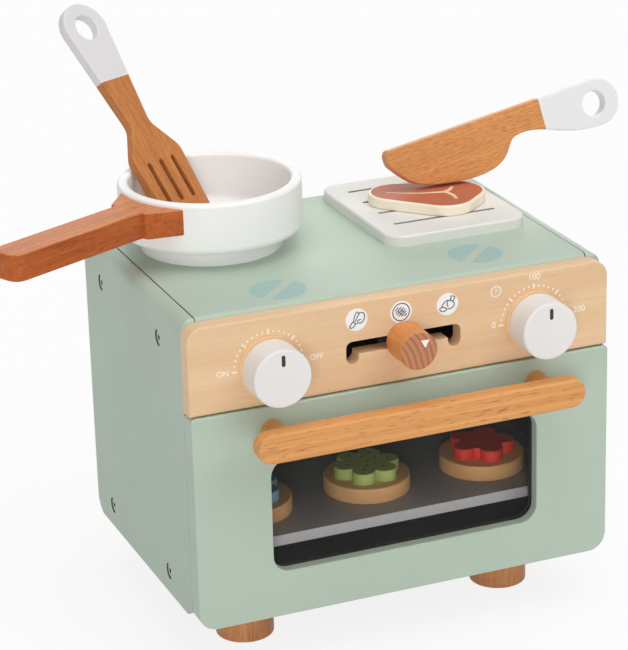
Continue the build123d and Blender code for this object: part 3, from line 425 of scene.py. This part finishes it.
UPRIGHT = (0, radians(-90), 0)
panel_wood = wooden("panel wood", colour(240, 208, 168), colour(227, 186, 143),
                    fibre=(70, 1.2), band=(220, 13), bands=0.6, contrast=(0.25, 0.75),
                    flecks=0.15, fleck=(7, 0.8), sparse=0.66)
handle_wood = wooden("handle wood", colour(238, 176, 108), colour(202, 128, 68),
                     fibre=(120, 0.9), band=(400, 4.0), bands=0.5, contrast=(0.24, 0.7),
                     flecks=0.85, fleck=(10, 0.75), sparse=0.64)
ring_wood = wooden("ring wood", colour(250, 220, 180), colour(238, 198, 152))
foot_wood = wooden("foot wood", colour(242, 174, 116), colour(198, 126, 78), turn=UPRIGHT,
                   fibre=(30, 1.0), flecks=0.5, fleck=(5, 0.8))
biscuit_wood = wooden("biscuit wood", colour(252, 200, 138), colour(232, 172, 110),
                      fibre=(24, 0.8), flecks=0.2, fleck=(5, 0.8))
print("plain woods ready")

# %% [markdown]
# The selector's knob is turned with the grain along its own axis, so its rim shows fibres and
# its flat front shows the growth rings of the tree, cut across. The rings are wavy circles
# round the tree's heart, which lies well outside the knob. A Wave texture draws them, and the
# place of the front face decides where they show.

# %% The selector's knob
HEART_LEFT, HEART_BELOW = 34 * MM, 15 * MM
PORE_SIZE = 0.5 * MM


def selector_finish():
    """Fibres on the rim and growth rings on the sawn front."""
    finish = wooden("selector wood", colour(238, 162, 92), colour(210, 134, 74),
                    turn=(0, 0, radians(90)), fibre=(30, 0.9), flecks=0.4, fleck=(4, 0.8))
    tree, shader, sides = so_far(finish)
    low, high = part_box("selector_knob")
    heart = ((low.x + high.x) / 2 - HEART_LEFT, low.y, (low.z + high.z) / 2 - HEART_BELOW)
    rings = node(tree, "ShaderNodeTexWave", wave_type="RINGS", rings_direction="Y")
    rings.inputs["Scale"].default_value = 0.085
    rings.inputs["Distortion"].default_value = 2.6
    rings.inputs["Detail"].default_value = 2.0
    rings.inputs["Detail Scale"].default_value = 0.8
    tree.links.new(wood_space(tree, heart, (0, 0, 0), (MM, MM, MM)), rings.inputs["Vector"])
    pores = noise(tree, wood_space(tree, heart, (0, 0, 0), (PORE_SIZE,) * 3), 2.0)
    grain = reckon(tree, "MULTIPLY_ADD", pores, 0.5,
                   reckon(tree, "MULTIPLY", rings.outputs["Fac"], 0.75))
    face = ramp(tree, grain, [(0.15, colour(158, 96, 66)), (0.45, colour(184, 122, 86)),
                              (0.9, colour(196, 134, 96))])
    front = reckon(tree, "LESS_THAN", axis_value(tree, "Y"), low.y + 0.3 * MM)
    tree.links.new(blend(tree, front, sides, face), shader.inputs["Base Color"])
    return finish


selector_wood = selector_finish()
print("selector wood ready")

# %% [markdown]
# ## Tools dipped in white
#
# The spatula and the knife are beech, and their grips are dipped in white paint up to a
# straight line. The line stands square to the tool, so the pattern's own X axis, which runs
# along the tool, gives it at once: beyond a certain length the colour is white. The sides of
# the pan's handle are painted darker and redder than its top: painted shade, for the weaker
# light that falls on them.

# %% Finishes of the tools and the pan's handle
SPATULA_FOOT = at(-82.8, 52.9, 247.3)
SPATULA_WAY = Vector((-0.28529, 0.53655, 0.79418))
GRIP_HOLE = at(206.35, 44.96, 287.27)
KNIFE_LEAN, KNIFE_TILT = radians(-14.0), radians(-10.2)
KNIFE_TURN = Matrix.Rotation(KNIFE_LEAN, 3, "X") @ Matrix.Rotation(KNIFE_TILT, 3, "Y")
PAN_MIDDLE = at(-72.5, 33.5, 265)
PAN_GRIP = radians(205.5)
SPATULA_DIP, KNIFE_DIP = 101, -38.9


def paint_side_shade(finish, share):
    """Painted shade: faces that don't point up have the base colour times a share."""
    tree = finish.node_tree
    facing = node(tree, "ShaderNodeSeparateXYZ")
    tree.links.new(node(tree, "ShaderNodeNewGeometry").outputs["Normal"], facing.inputs["Vector"])
    overpaint(finish, reckon(tree, "LESS_THAN", facing.outputs["Z"], 0.5), share, "MULTIPLY")


spatula_wood = wooden("spatula wood", colour(211, 141, 76), colour(176, 102, 50),
                      middle=SPATULA_FOOT, turn=grain_turn(SPATULA_WAY), fibre=(35, 0.8),
                      band=(90, 6), flecks=0.4, fleck=(6, 0.8), sparse=0.58, depth=0.015,
                      paint=(SPATULA_DIP, "GREATER_THAN", colour(226, 223, 225)))
knife_wood = wooden("knife wood", colour(236, 164, 98), colour(205, 134, 78),
                    middle=GRIP_HOLE, turn=KNIFE_TURN.to_euler(), fibre=(35, 0.8),
                    band=(100, 7), bands=0.3, flecks=0.38, fleck=(6, 0.9), sparse=0.5, depth=0.02,
                    paint=(KNIFE_DIP, "GREATER_THAN", colour(238, 236, 237)))
pan_grip_wood = wooden("pan handle wood", colour(234, 156, 99), colour(188, 109, 66),
                       middle=PAN_MIDDLE, turn=(0, 0, PAN_GRIP), fibre=(40, 1.0),
                       band=(110, 7), flecks=0.4, fleck=(6, 0.8), sparse=0.56, shine=0.08,
                       depth=0.03)
# Painted shade: the sides of the pan's handle are darker and redder than its top.
paint_side_shade(pan_grip_wood, (0.80, 0.56, 0.42, 1.0))
print("tool woods ready")

# %% [markdown]
# ## Metal, plastic and the clear pane
#
# The bolts, screws and hinges are zinc plated: a rough metal with a faint cloudy tint. The
# pane is clear acrylic. It is nearly see-through, so most light passes into the oven, and only
# the gloss of its surface shows.

# %% Metal, plastic and pane
def plated(name, tone, rough):
    """Rough plated metal with a cloudy tint."""
    finish, tree, shader = new_finish(name)
    clouds = noise(tree, plain_space(tree, 3 * MM), 3.0)
    tint = ramp(tree, clouds, [(0.3, tinted(tone, 0.85)), (0.7, tinted(tone, 1.1))])
    tree.links.new(tint, shader.inputs["Base Color"])
    shader.inputs["Metallic"].default_value = 1.0
    varied(tree, shader, clouds, rough - 0.08, rough + 0.08)
    relief(tree, shader, clouds, 0.01, 0.3)
    return finish


steel = plated("plated steel", colour(176, 180, 172), 0.36)
black_plastic = painted("black plastic", colour(44, 44, 46), peel=0.02, roughness=(0.4, 0.55))

clear_pane, tree, shader = new_finish("clear pane", 0.06)
smear = noise(tree, plain_space(tree, 30 * MM), 2.0)
tree.links.new(ramp(tree, smear, [(0.3, colour(104, 108, 106)), (0.7, colour(116, 120, 118))]),
               shader.inputs["Base Color"])
shader.inputs["Alpha"].default_value = 0.05
shader.inputs["IOR"].default_value = 1.49
print("metal, plastic and pane ready")

# %% [markdown]
# ## Give every CAD piece its finish
#
# One table says which piece has which finish. The grain of each wooden board runs the way its
# longest side runs, which is how a joiner cuts boards.

# %% Dress the CAD pieces
FINISHES = {
    green_left: ["left_side"],
    green_right: ["right_side"],
    green_lid: ["top_panel"],
    green_door: ["door_panel"],
    white_paint: ["left_knob", "right_knob"],
    lit_pan_paint: ["pan_bowl"],
    black_paint: ["bottom_panel", "cavity_ceiling", "front_rail", "shelf_runners",
                  "pane_bezel", "selector_guides"],
    panel_wood: ["control_panel", "panel_dowels"],
    handle_wood: ["handle_bar", "handle_posts"],
    ring_wood: ["knob_spacers", "left_shaft", "right_shaft", "selector_shaft"],
    foot_wood: ["foot_front_left", "foot_front_right", "foot_rear_left", "foot_rear_right"],
    biscuit_wood: ["left_cookie", "middle_cookie", "right_cookie"],
    selector_wood: ["selector_knob"],
    spatula_wood: ["spatula"],
    knife_wood: ["knife"],
    pan_grip_wood: ["pan_handle"],
    red_paint: ["right_topping"],
    leaf_paint: ["middle_topping"],
    blue_paint: ["left_topping"],
    steel: ["side_bolts", "back_screws", "foot_screws", "bezel_screws", "handle_screws",
            "hinge_case_leaves", "hinge_case_screws", "hinge_door_leaves",
            "hinge_door_screws", "hinge_pins", "casing_magnets", "door_magnets",
            "pan_screws", "left_knob_screw", "right_knob_screw", "selector_screw"],
    black_plastic: ["left_washer", "right_washer", "selector_washer", "selector_slider"],
    clear_pane: ["window_pane"],
}


def dress(name, finish):
    """The CAD piece shows this finish."""
    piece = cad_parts[name]
    piece.data.materials.clear()
    piece.data.materials.append(finish)


for finish, names in FINISHES.items():
    for name in names:
        dress(name, finish)
print("dressed", sum(len(names) for names in FINISHES.values()), "pieces")

# %% [markdown]
# The back is a thin plywood board: plain outside and black where it closes the oven. The grill
# board is painted pale, and its long slots are grey as painted shade: they lie lower than its
# top and inside its rim, so the place of a point says where the shade is painted. The shelf is
# grey, with a paler front edge that is a painted highlight. The steak is a piece of pale wood
# with only its top printed.

# %% The back, the shelf, the grill board and the steak
def back_finish():
    """Plywood with a black inner face."""
    finish = wooden("back plywood", colour(222, 196, 156), colour(196, 164, 120),
                    fibre=(60, 1.0), band=(200, 16), bands=0.6)
    tree = finish.node_tree
    dark = reckon(tree, "LESS_THAN", axis_value(tree, "Y"), back_inner)
    overpaint(finish, dark, BLACK_INSIDE)
    return finish


def shelf_finish_with_highlight():
    """Grey paint with a paler front edge, which is a painted highlight."""
    finish = painted("shelf paint", colour(146, 142, 140), roughness=(0.5, 0.65))
    tree = finish.node_tree
    edge = reckon(tree, "LESS_THAN", axis_value(tree, "Y"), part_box("oven_shelf")[0].y + 0.2 * MM)
    # Painted highlight: the front edge is paler, as the light catches it.
    overpaint(finish, edge, colour(192, 190, 190))
    return finish


def board_finish():
    """Pale paint, with painted shade in grey in the slots."""
    finish = painted("board paint", colour(232, 231, 225), roughness=(0.45, 0.6))
    tree = finish.node_tree
    low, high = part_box("grill_board")
    # Painted shade: the slots are grey, as little light reaches into them.
    slot_shade = reckon(tree, "MULTIPLY", within(tree, "X", low.x + 10 * MM, high.x - 10 * MM),
                   within(tree, "Y", low.y + 14 * MM, high.y - 10 * MM))
    slot_shade = reckon(tree, "MULTIPLY", slot_shade, within(tree, "Z", low.z + MM, high.z - 0.2 * MM))
    overpaint(finish, slot_shade, colour(170, 165, 160))
    return finish


STEAK_TURN = radians(-24.0)
steak_wood = wooden("steak wood", colour(254, 245, 225), colour(249, 234, 208),
                    turn=(0, 0, STEAK_TURN), fibre=(26, 0.8))
dress("back_panel", back_finish())
dress("oven_shelf", shelf_finish_with_highlight())
dress("grill_board", board_finish())
dress("steak", steak_wood)
print("back, shelf, grill board and steak dressed")

# %% [markdown]
# ## Printed marks
#
# The marks round the knobs are screen printed. Ink has almost no thickness, so each mark is a
# plate about a tenth of a millimetre thick, half sunk in the surface that carries it. A bar with
# round ends serves for every long tick and for the pointers: a cube, stretched, with the four
# edges through its thickness bevelled until its ends are round.

# %% Shapes for ink
INK = 0.12
END_ROUND = 0.48  # share of a bar's width
FONT_SIZE = 1.4  # over the height of the letters
BOLDER = 0.06


def bar(width, length):
    """A bar with round ends in the plane of the panel, upright, at the origin."""
    bpy.ops.mesh.primitive_cube_add(size=1)
    made = bpy.context.object
    made.scale = (width * MM, INK * MM, length * MM)
    settle(made)
    bpy.ops.object.mode_set(mode="EDIT")
    bpy.ops.mesh.select_all(action="DESELECT")
    bpy.ops.object.mode_set(mode="OBJECT")
    for edge in made.data.edges:
        first, second = (made.data.vertices[i].co for i in edge.vertices)
        edge.select = abs(first.y - second.y) > INK * MM / 2
    bpy.ops.object.mode_set(mode="EDIT")
    bpy.ops.mesh.select_mode(type="EDGE")
    bpy.ops.mesh.bevel(offset=width * END_ROUND * MM, segments=5)
    bpy.ops.object.mode_set(mode="OBJECT")
    return made


def dot(radius, sides=16, facing_up=False):
    """A thin round spot with a soft rim, at the origin."""
    turn = (0, 0, 0) if facing_up else (radians(90), 0, 0)
    bpy.ops.mesh.primitive_cylinder_add(vertices=sides, radius=radius * MM, depth=INK * MM,
                                        rotation=turn)
    made = settle(bpy.context.object)
    soften_rim(made, INK / 4)
    return made


def word(text, height):
    """Printed letters in the plane of the panel, with their middle at the origin."""
    bpy.ops.object.select_all(action="DESELECT")
    bpy.ops.object.text_add()
    made = bpy.context.object
    made.data.body = text
    made.data.align_x = "CENTER"
    made.data.align_y = "CENTER"
    made.data.size = height * FONT_SIZE * MM
    made.data.extrude = INK * MM / 2
    made.data.offset = BOLDER * MM
    bpy.ops.object.convert(target="MESH")
    made = bpy.context.object
    made.rotation_euler = (radians(90), 0, 0)
    settle(made)
    bpy.ops.object.mode_set(mode="EDIT")
    bpy.ops.mesh.select_all(action="SELECT")
    bpy.ops.mesh.remove_doubles(threshold=0.000001)
    bpy.ops.object.mode_set(mode="OBJECT")
    return made


def moved(piece, x, y, z):
    """The piece taken from the origin to its place."""
    piece.data.transform(Matrix.Translation(at(x, y, z)))
    return piece


print("ink shapes ready")

# %% [markdown]
# The inks: a warm white on the panel, black on the knobs, a dark blue for the small pictures
# and a blue-grey for the hot plates. Printed ink is a little uneven, so each has fine clouds.

# %% Inks
def ink(name, tone):
    """Ink with fine clouds."""
    finish, tree, shader = new_finish(name, 0.55)
    film = noise(tree, plain_space(tree, 0.7 * MM), 2.0)
    tint = ramp(tree, film, [(0.25, tinted(tone, 0.94)), (0.65, tinted(tone, 1.0))])
    tree.links.new(tint, shader.inputs["Base Color"])
    relief(tree, shader, film, 0.01, 0.2)
    return finish


white_ink = ink("white ink", colour(252, 246, 232))
disc_ink = ink("disc ink", colour(252, 251, 248))
black_ink = ink("black ink", colour(40, 42, 44))
blue_ink = ink("blue ink", colour(72, 86, 104))
plate_ink = ink("hot plate ink", colour(160, 190, 185))
meat_ink = ink("meat ink", colour(190, 107, 76))
cream_ink = ink("cream ink", colour(242, 214, 176))
seed_ink = ink("seed ink", colour(70, 74, 52))
print("inks ready")

# %% [markdown]
# ## The scales round the knobs
#
# Each scale is half a circle: a long tick every 45 degrees, and four dots between two ticks.
# One tick and one dot are modelled and then copied round the knob's axis, each copy with
# its own mesh, as a printer's stencil repeats one cut.

# %% Scales
KNOB_X, KNOB_Z = 88.5, 201.3
SCALE_RADIUS = 22.4
MARKS, TICK_EVERY, STEP = 21, 5, 9.0
TICK_WIDTH, TICK_LENGTH, DOT_RADIUS = 1.15, 3.7, 0.66
CLOCK_RADIUS, CLOCK_LINE, CLOCK_HAND = 3.7, 0.75, 0.6
CLOCK_X, CLOCK_Z = 62.5, 224.3
# Each word has its letters' height and its place in X and Z.
LEFT_WORDS = (("ON", 3.6, -118.2, 201.3), ("OFF", 3.6, -57.6, 202.0))
RIGHT_WORDS = (("0", 4.1, 61.0, 202.2), ("100", 4.1, 88.8, 229.5), ("200", 4.1, 120.2, 203.2))


def scale_ring(x):
    """Ticks and dots on the upper half of a ring round a knob."""
    tick = bar(TICK_WIDTH, TICK_LENGTH)
    spot = dot(DOT_RADIUS)
    marks = []
    for number in range(MARKS):
        angle = radians(180 - number * STEP)
        mark = tick if number % TICK_EVERY == 0 else spot
        way = Matrix.Translation((SCALE_RADIUS * MM * cos(angle), 0,
                                  SCALE_RADIUS * MM * sin(angle)))
        marks.append(twin(mark, way @ Matrix.Rotation(radians(90) - angle, 4, "Y")))
    discard(tick)
    discard(spot)
    ring = joined(marks, "scale ring")
    return moved(ring, x, PANEL_FACE, KNOB_Z)


def clock():
    """A small clock face: a ring and two hands."""
    bpy.ops.mesh.primitive_cylinder_add(vertices=40, radius=CLOCK_RADIUS * MM, depth=INK * MM,
                                        rotation=(radians(90), 0, 0))
    ring = settle(bpy.context.object)
    bpy.ops.object.mode_set(mode="EDIT")
    bpy.ops.mesh.select_all(action="DESELECT")
    bpy.ops.object.mode_set(mode="OBJECT")
    for face in ring.data.polygons:
        face.select = abs(face.normal.y) > 0.9
    bpy.ops.object.mode_set(mode="EDIT")
    bpy.ops.mesh.select_mode(type="FACE")
    bpy.ops.mesh.inset(thickness=CLOCK_LINE * MM)
    bpy.ops.mesh.bridge_edge_loops()
    bpy.ops.object.mode_set(mode="OBJECT")
    long_hand = bar(CLOCK_HAND, 2.4)
    long_hand.data.transform(Matrix.Translation((0, 0, 0.9 * MM)))
    short_hand = bar(CLOCK_HAND, 1.8)
    short_hand.data.transform(Matrix.Translation((0.65 * MM, 0, 0.4 * MM))
                              @ Matrix.Rotation(radians(55), 4, "Y"))
    return moved(joined([ring, long_hand, short_hand], "clock"), CLOCK_X, PANEL_FACE, CLOCK_Z)


def printed(words):
    """Words and numbers at their places on the panel."""
    return [moved(word(text, height), x, PANEL_FACE, z) for text, height, x, z in words]


left_marks = joined([scale_ring(-KNOB_X)] + printed(LEFT_WORDS), "left_dial_print")
belongs(left_marks, "casing", white_ink)
right_marks = joined([scale_ring(KNOB_X)] + printed(RIGHT_WORDS) + [clock()],
                     "right_dial_print")
belongs(right_marks, "casing", white_ink)

# %% [markdown]
# ## Pointers on the knobs
#
# Each turning knob has one black bar near the edge of its face, and the selector has a small
# white triangle that points down. They ride on the knobs, so they turn and slide with them.

# %% Pointers
def front_of(name):
    """The front face of a piece, in millimetres from the casing's middle."""
    return (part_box(name)[0].y - CASING.y) / MM


KNOB_FACE = front_of("left_knob")
SELECTOR_FACE = front_of("selector_knob")
SELECTOR_Z = (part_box("selector_knob")[0].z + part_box("selector_knob")[1].z) / 2 / MM
POINTER_WIDTH, POINTER_LENGTH, POINTER_RISE = 2.4, 7.2, 11.4
TRIANGLE_RADIUS, TRIANGLE_RIGHT, TRIANGLE_RISE = 3.4, 4.0, 5.0

for side, body, shift in ((-1, "left_dial", 0.4), (1, "right_dial", 0.5)):
    pointer = moved(bar(POINTER_WIDTH, POINTER_LENGTH), side * KNOB_X + shift, KNOB_FACE,
                    KNOB_Z + POINTER_RISE)
    pointer.name = body + "_pointer"
    belongs(pointer, body, black_ink)

bpy.ops.mesh.primitive_cylinder_add(vertices=3, radius=TRIANGLE_RADIUS * MM, depth=INK * MM,
                                    rotation=(radians(90), 0, 0))
triangle = settle(bpy.context.object)
soften_rim(triangle, INK / 4)
triangle.data.transform(Matrix.Rotation(pi, 4, "Y"))  # its point goes down
triangle.name = "selector_pointer"
moved(triangle, TRIANGLE_RIGHT, SELECTOR_FACE, SELECTOR_Z + TRIANGLE_RISE)
belongs(triangle, "selector", white_ink)

# %% [markdown]
# ## Pictures over the selector
#
# Three white discs show what the selector sets: a cabbage, a round griddle and a roast. The
# lines are drawn as smooth curves with a round section, made a mesh, and then pressed flat, as
# a print has one thin layer. The pictures are plain signs of their kind.

# %% Discs and pictures
PEN = 0.7
PRESSED = 0.16  # share of a line's thickness that is left
DISC_RADIUS, DISC_Z = 7.2, 221.5


def pressed(curves, name):
    """Curves joined, made a mesh and pressed to the thickness of ink."""
    joined(curves, name)
    bpy.ops.object.convert(target="MESH")
    made = bpy.context.object
    made.data.transform(Matrix.Diagonal((1, PRESSED, 1, 1)))
    return made


def line(points, width, closed=False):
    """A smooth line through points of X and Z in millimetres."""
    bpy.ops.object.select_all(action="DESELECT")
    bpy.ops.curve.primitive_bezier_curve_add()
    made = bpy.context.object
    spline = made.data.splines[0]
    spline.bezier_points.add(len(points) - len(spline.bezier_points))
    for spot, (x, z) in zip(spline.bezier_points, points):
        spot.co = (x * MM, 0, z * MM)
        spot.handle_left_type = spot.handle_right_type = "AUTO"
    spline.use_cyclic_u = closed
    made.data.dimensions = "3D"
    made.data.bevel_depth = width * MM / 2
    made.data.bevel_resolution = 2
    made.data.resolution_u = 6
    made.data.use_fill_caps = not closed
    return made


CABBAGE = [([(-2.0, -1.4), (-4.2, -3.4), (-4.5, -4.5), (-3.3, -4.9), (-0.9, -2.8)], True),
           ([(-2.0, -1.4), (-1.6, 0.9), (-0.7, 3.3), (0.6, 4.8), (1.6, 3.5)], False),
           ([(-0.9, -2.8), (0.9, -2.3), (3.2, -2.4), (4.7, -0.8), (5.3, 1.6), (4.4, 3.7),
             (2.4, 4.0), (1.2, 2.6), (0.0, 0.5), (-0.9, -1.1)], False),
           ([(0.0, -1.5), (1.5, -0.5), (3.0, -0.3)], False)]
GRIDDLE_RADIUS = 5.5
GRIDDLE = [([(GRIDDLE_RADIUS * cos(a * pi / 4), GRIDDLE_RADIUS * sin(a * pi / 4))
             for a in range(8)], True)]
HATCH = ((-2.9, 1.5), (-1.75, 2.6), (-0.6, 3.1), (0.6, 3.0), (1.8, 2.3), (2.9, 1.2))
GRIDDLE += [([(shift - reach * 0.7, -shift * 0.75 - reach * 0.7),
              (shift + reach * 0.7, -shift * 0.75 + reach * 0.7)], False)
            for shift, reach in HATCH]
GRIDDLE += [([(-1.9, 0.6), (0.6, -1.9)], False), ([(-0.2, 1.6), (1.9, -0.5)], False)]
ROAST = [([(-4.0, -1.7), (-2.7, 0.6), (-0.6, 2.2), (1.6, 2.2), (3.9, 1.0), (4.6, -0.9),
           (3.0, -2.8), (0.2, -3.2)], False),
         ([(0.5, 2.2), (-0.2, 0.4), (0.4, -1.8)], False),
         ([(1.7, 2.2), (2.6, 3.5)], False), ([(3.6, 1.4), (4.3, 2.6)], False),
         ([(2.6, 3.5), (2.4, 4.7), (3.6, 4.7), (4.9, 4.1), (4.9, 3.1), (4.3, 2.6)], False),
         ([(-5.1, -2.6), (-3.9, -1.7), (-1.6, -2.2), (-0.4, -3.3), (-1.8, -4.2), (-4.2, -4.0)],
          True)]
DISCS = ((-31.0, CABBAGE), (-1.5, GRIDDLE), (29.5, ROAST))

one_disc = dot(DISC_RADIUS, 48)
discs = [moved(twin(one_disc, Matrix()), x, PANEL_FACE, DISC_Z) for x, picture in DISCS]
discard(one_disc)
belongs(joined(discs, "picture_discs"), "casing", disc_ink)

pictures = []
for x, picture in DISCS:
    drawn = pressed([line(points, PEN, closed) for points, closed in picture], "picture")
    pictures.append(moved(drawn, x, PANEL_FACE - INK / 2, DISC_Z))
belongs(joined(pictures, "picture_lines"), "casing", blue_ink)

# %% [markdown]
# ## Hot plates
#
# Two round hot plates are printed on the lid, each with a clear diagonal bar. A thin disc is
# cut twice with bisect, once on each side of the bar, and the two segments are kept.

# %% Hot plates
def segment(radius, half_bar, side):
    """One part of a disc, beyond a diagonal bar."""
    made = dot(radius, 72, facing_up=True)
    way = Vector((1, -1, 0)).normalized() * side
    only(made)
    bpy.ops.object.mode_set(mode="EDIT")
    bpy.ops.mesh.select_all(action="SELECT")
    bpy.ops.mesh.bisect(plane_co=way * half_bar * MM, plane_no=way, use_fill=True,
                        clear_inner=True)
    bpy.ops.object.mode_set(mode="OBJECT")
    return made


PLATE_RADIUS, HALF_BAR = 17.5, 3.2
PLATE_PLACES = ((-67.0, -67.0), (68.6, -61.0))

plates = []
for x, y in PLATE_PLACES:
    for side in (-1, 1):
        plates.append(moved(segment(PLATE_RADIUS, HALF_BAR, side), x, y, LID_TOP))
belongs(joined(plates, "hot_plate_print"), "casing", plate_ink)

# %% [markdown]
# ## The steak's print
#
# The print leaves a pale rim two millimetres wide, which looks like fat. The outline of the
# steak is the hull round three circles, so the print is the hull round the same circles with
# smaller radii. The bone is a line that grows wider and forks.

# %% Steak
STEAK = at(76.0, 23.5, 0)
RIM = 2.0
# Middle and radius of each circle, from the middle of the steak.
CORNERS = ((-21.5, 5.2, 18.5), (16.6, 6.9, 20.5), (10.25, -7.0, 20.5))
steak_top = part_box("steak")[1].z

rounds = []
for x, y, radius in CORNERS:
    bpy.ops.mesh.primitive_cylinder_add(vertices=64, radius=(radius - RIM) * MM,
                                        depth=INK * MM, location=(x * MM, y * MM, 0))
    rounds.append(settle(bpy.context.object))
meat = joined(rounds, "steak_print")
only(meat)
bpy.ops.object.mode_set(mode="EDIT")
bpy.ops.mesh.select_all(action="SELECT")
bpy.ops.mesh.convex_hull()
bpy.ops.object.mode_set(mode="OBJECT")
soften_rim(meat, INK / 4)
meat.data.transform(Matrix.Translation((STEAK.x, STEAK.y, steak_top))
                    @ Matrix.Rotation(STEAK_TURN, 4, "Z"))
belongs(meat, "steak_food", meat_ink)


def bone(points, widths):
    """A line on the steak with a width at each point."""
    made = line([(x, 0) for x, y in points], 1.0)
    spline = made.data.splines[0]
    for spot, (x, y), width in zip(spline.bezier_points, points, widths):
        spot.co = (x * MM, y * MM, 0)
        spot.radius = width
    return made


stem = bone([(51.7, 38.1), (61.5, 31.8), (71.1, 27.0), (83.7, 23.0), (87.9, 22.0)],
            [1.1, 1.6, 2.3, 3.2, 3.8])
upper_prong = bone([(87.0, 22.2), (91.5, 25.2), (95.7, 30.0)], [3.5, 3.1, 2.3])
lower_prong = bone([(87.2, 22.6), (88.6, 14.0), (87.7, 5.5)], [3.5, 3.2, 2.3])
joined([stem, upper_prong, lower_prong], "steak_bone")
bpy.ops.object.convert(target="MESH")
bone_print = bpy.context.object
bone_print.data.transform(Matrix.Diagonal((1, 1, 0.08, 1)))
bone_print.data.transform(Matrix.Translation((CASING.x, CASING.y, steak_top + INK / 2 * MM)))
belongs(bone_print, "steak_food", cream_ink)

# %% [markdown]
# ## Seeds on the green topping
#
# The topping of the middle biscuit is dotted with small dark seeds. A seed is a flattened
# ball with one end pulled longer, copied in two loose rings and turned each time.

# %% Seeds
bpy.ops.mesh.primitive_uv_sphere_add(segments=12, ring_count=8, radius=1.0 * MM)
seed = bpy.context.object
for spot in seed.data.vertices:
    spot.co.x *= 1.5 if spot.co.x > 0 else 0.9
    spot.co.z *= 0.35
topping_low, topping_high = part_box("middle_topping")
topping_middle = (topping_low + topping_high) / 2
# Each seed's distance from the middle in millimetres and its angle in degrees.
SEEDS = [(0, 0)] + [(7, angle) for angle in (20, 95, 170, 245, 310)]
SEEDS += [(14, angle) for angle in range(0, 360, 60)]

seeds = []
for number, (reach, angle) in enumerate(SEEDS):
    turn = radians(angle)
    way = Matrix.Translation((topping_middle.x + reach * MM * cos(turn),
                              topping_middle.y + reach * MM * sin(turn), topping_high.z))
    seeds.append(twin(seed, way @ Matrix.Rotation(turn + number, 4, "Z")))
discard(seed)
belongs(joined(seeds, "topping_seeds"), "middle_biscuit", seed_ink)

# %% [markdown]
# ## Studio
#
# A plain white floor, an even sky and four soft suns. The widest sun stands above and gives most
# of the light, so the lid is the brightest face. Two stand in front: one to the upper right
# gives the knobs and the handle their soft shadows to the lower left, and a low one to the left
# fills the front and the left side. The last is behind, for the views of the back. The sky is
# white to the camera and in gloss, and dim as a light. The floor is part plain and part white
# of its own to the camera and in gloss, so that it looks white and still takes the toy's
# shadow, with no more light on the toy.

# %% Floor, lights and sky
FLOOR_SIZE = 14.0  # metres
FLOOR_GLOW = 0.86
SKY = 0.19

bpy.ops.object.select_all(action="DESELECT")
bpy.ops.mesh.primitive_plane_add(size=FLOOR_SIZE)
floor = bpy.context.object
floor.name = "studio_floor"
finish, tree, shader = new_finish("studio floor", 0.9)
shader.inputs["Base Color"].default_value = (0.96, 0.96, 0.96, 1.0)
shader.inputs["Specular IOR Level"].default_value = 0.0
glow = node(tree, "ShaderNodeEmission")
path = node(tree, "ShaderNodeLightPath")
seen = reckon(tree, "MAXIMUM", path.outputs["Is Camera Ray"], path.outputs["Is Glossy Ray"])
mixed = node(tree, "ShaderNodeMixShader")
tree.links.new(reckon(tree, "MULTIPLY", seen, FLOOR_GLOW), mixed.inputs["Fac"])
tree.links.new(shader.outputs["BSDF"], mixed.inputs[1])
tree.links.new(glow.outputs["Emission"], mixed.inputs[2])
tree.links.new(mixed.outputs["Shader"], tree.nodes["Material Output"].inputs["Surface"])
floor.data.materials.append(finish)


def sun(name, way, strength, spread):
    """A sun that shines from a direction, with its spread in degrees."""
    bpy.ops.object.light_add(type="SUN")
    lamp = bpy.context.object
    lamp.name = name
    lamp.rotation_euler = Vector(way).to_track_quat("Z", "Y").to_euler()
    lamp.data.energy = strength
    lamp.data.angle = radians(spread)
    return lamp


sun("key_sun", (0.45, -0.62, 0.64), 0.45, 24)
sun("front_sun", (-0.50, -1.0, 0.22), 0.9, 24)
sun("top_sun", (0.05, -0.12, 1.0), 1.65, 60)
sun("back_sun", (0.35, 1.0, 0.12), 0.5, 40)

sky = bpy.data.worlds.new("studio sky")
bpy.context.scene.world = sky
sky.use_nodes = True
sky_tree = sky.node_tree
background = sky_tree.nodes["Background"]
background.inputs["Color"].default_value = (1.0, 1.0, 1.0, 1.0)
path = node(sky_tree, "ShaderNodeLightPath")
seen = reckon(sky_tree, "MAXIMUM", path.outputs["Is Camera Ray"], path.outputs["Is Glossy Ray"])
seen = reckon(sky_tree, "MAXIMUM", seen, path.outputs["Is Transmission Ray"])
strength = reckon(sky_tree, "MULTIPLY_ADD", seen, 1.0 - SKY, SKY)
sky_tree.links.new(strength, background.inputs["Strength"])
bpy.context.scene.view_settings.view_transform = "Standard"
print("studio ready")

# %% [markdown]
# ## Camera
#
# The camera looks at the toy from its left front, a little from above, as the photograph does.
# Its turn is written as an azimuth, an elevation and a small roll, and its lens as a focal length
# in pixels of a picture whose longer side has 650 of them.

# %% Camera
AZIMUTH, ELEVATION, ROLL = radians(-22.0), radians(20.72), radians(-1.57)
FOCAL_PIXELS, LONG_SIDE, SENSOR = 2685, 650, 36.0
back = Vector((sin(AZIMUTH) * cos(ELEVATION), -cos(AZIMUTH) * cos(ELEVATION), sin(ELEVATION)))
level = (-back).cross(Vector((0, 0, 1))).normalized()
rise = level.cross(-back)
right = level * cos(ROLL) + rise * sin(ROLL)
up = rise * cos(ROLL) - level * sin(ROLL)
bpy.ops.object.camera_add()
camera = bpy.context.object
camera.name = "camera"
camera.location = at(-622.6, -1498.6, 792.1)
camera.rotation_euler = Matrix((right, up, back)).transposed().to_euler()
camera.data.sensor_width = SENSOR
camera.data.lens = FOCAL_PIXELS * SENSOR / LONG_SIDE
camera.data.clip_end = 50.0
bpy.context.scene.camera = camera
print("camera at", tuple(round(v, 4) for v in camera.location))
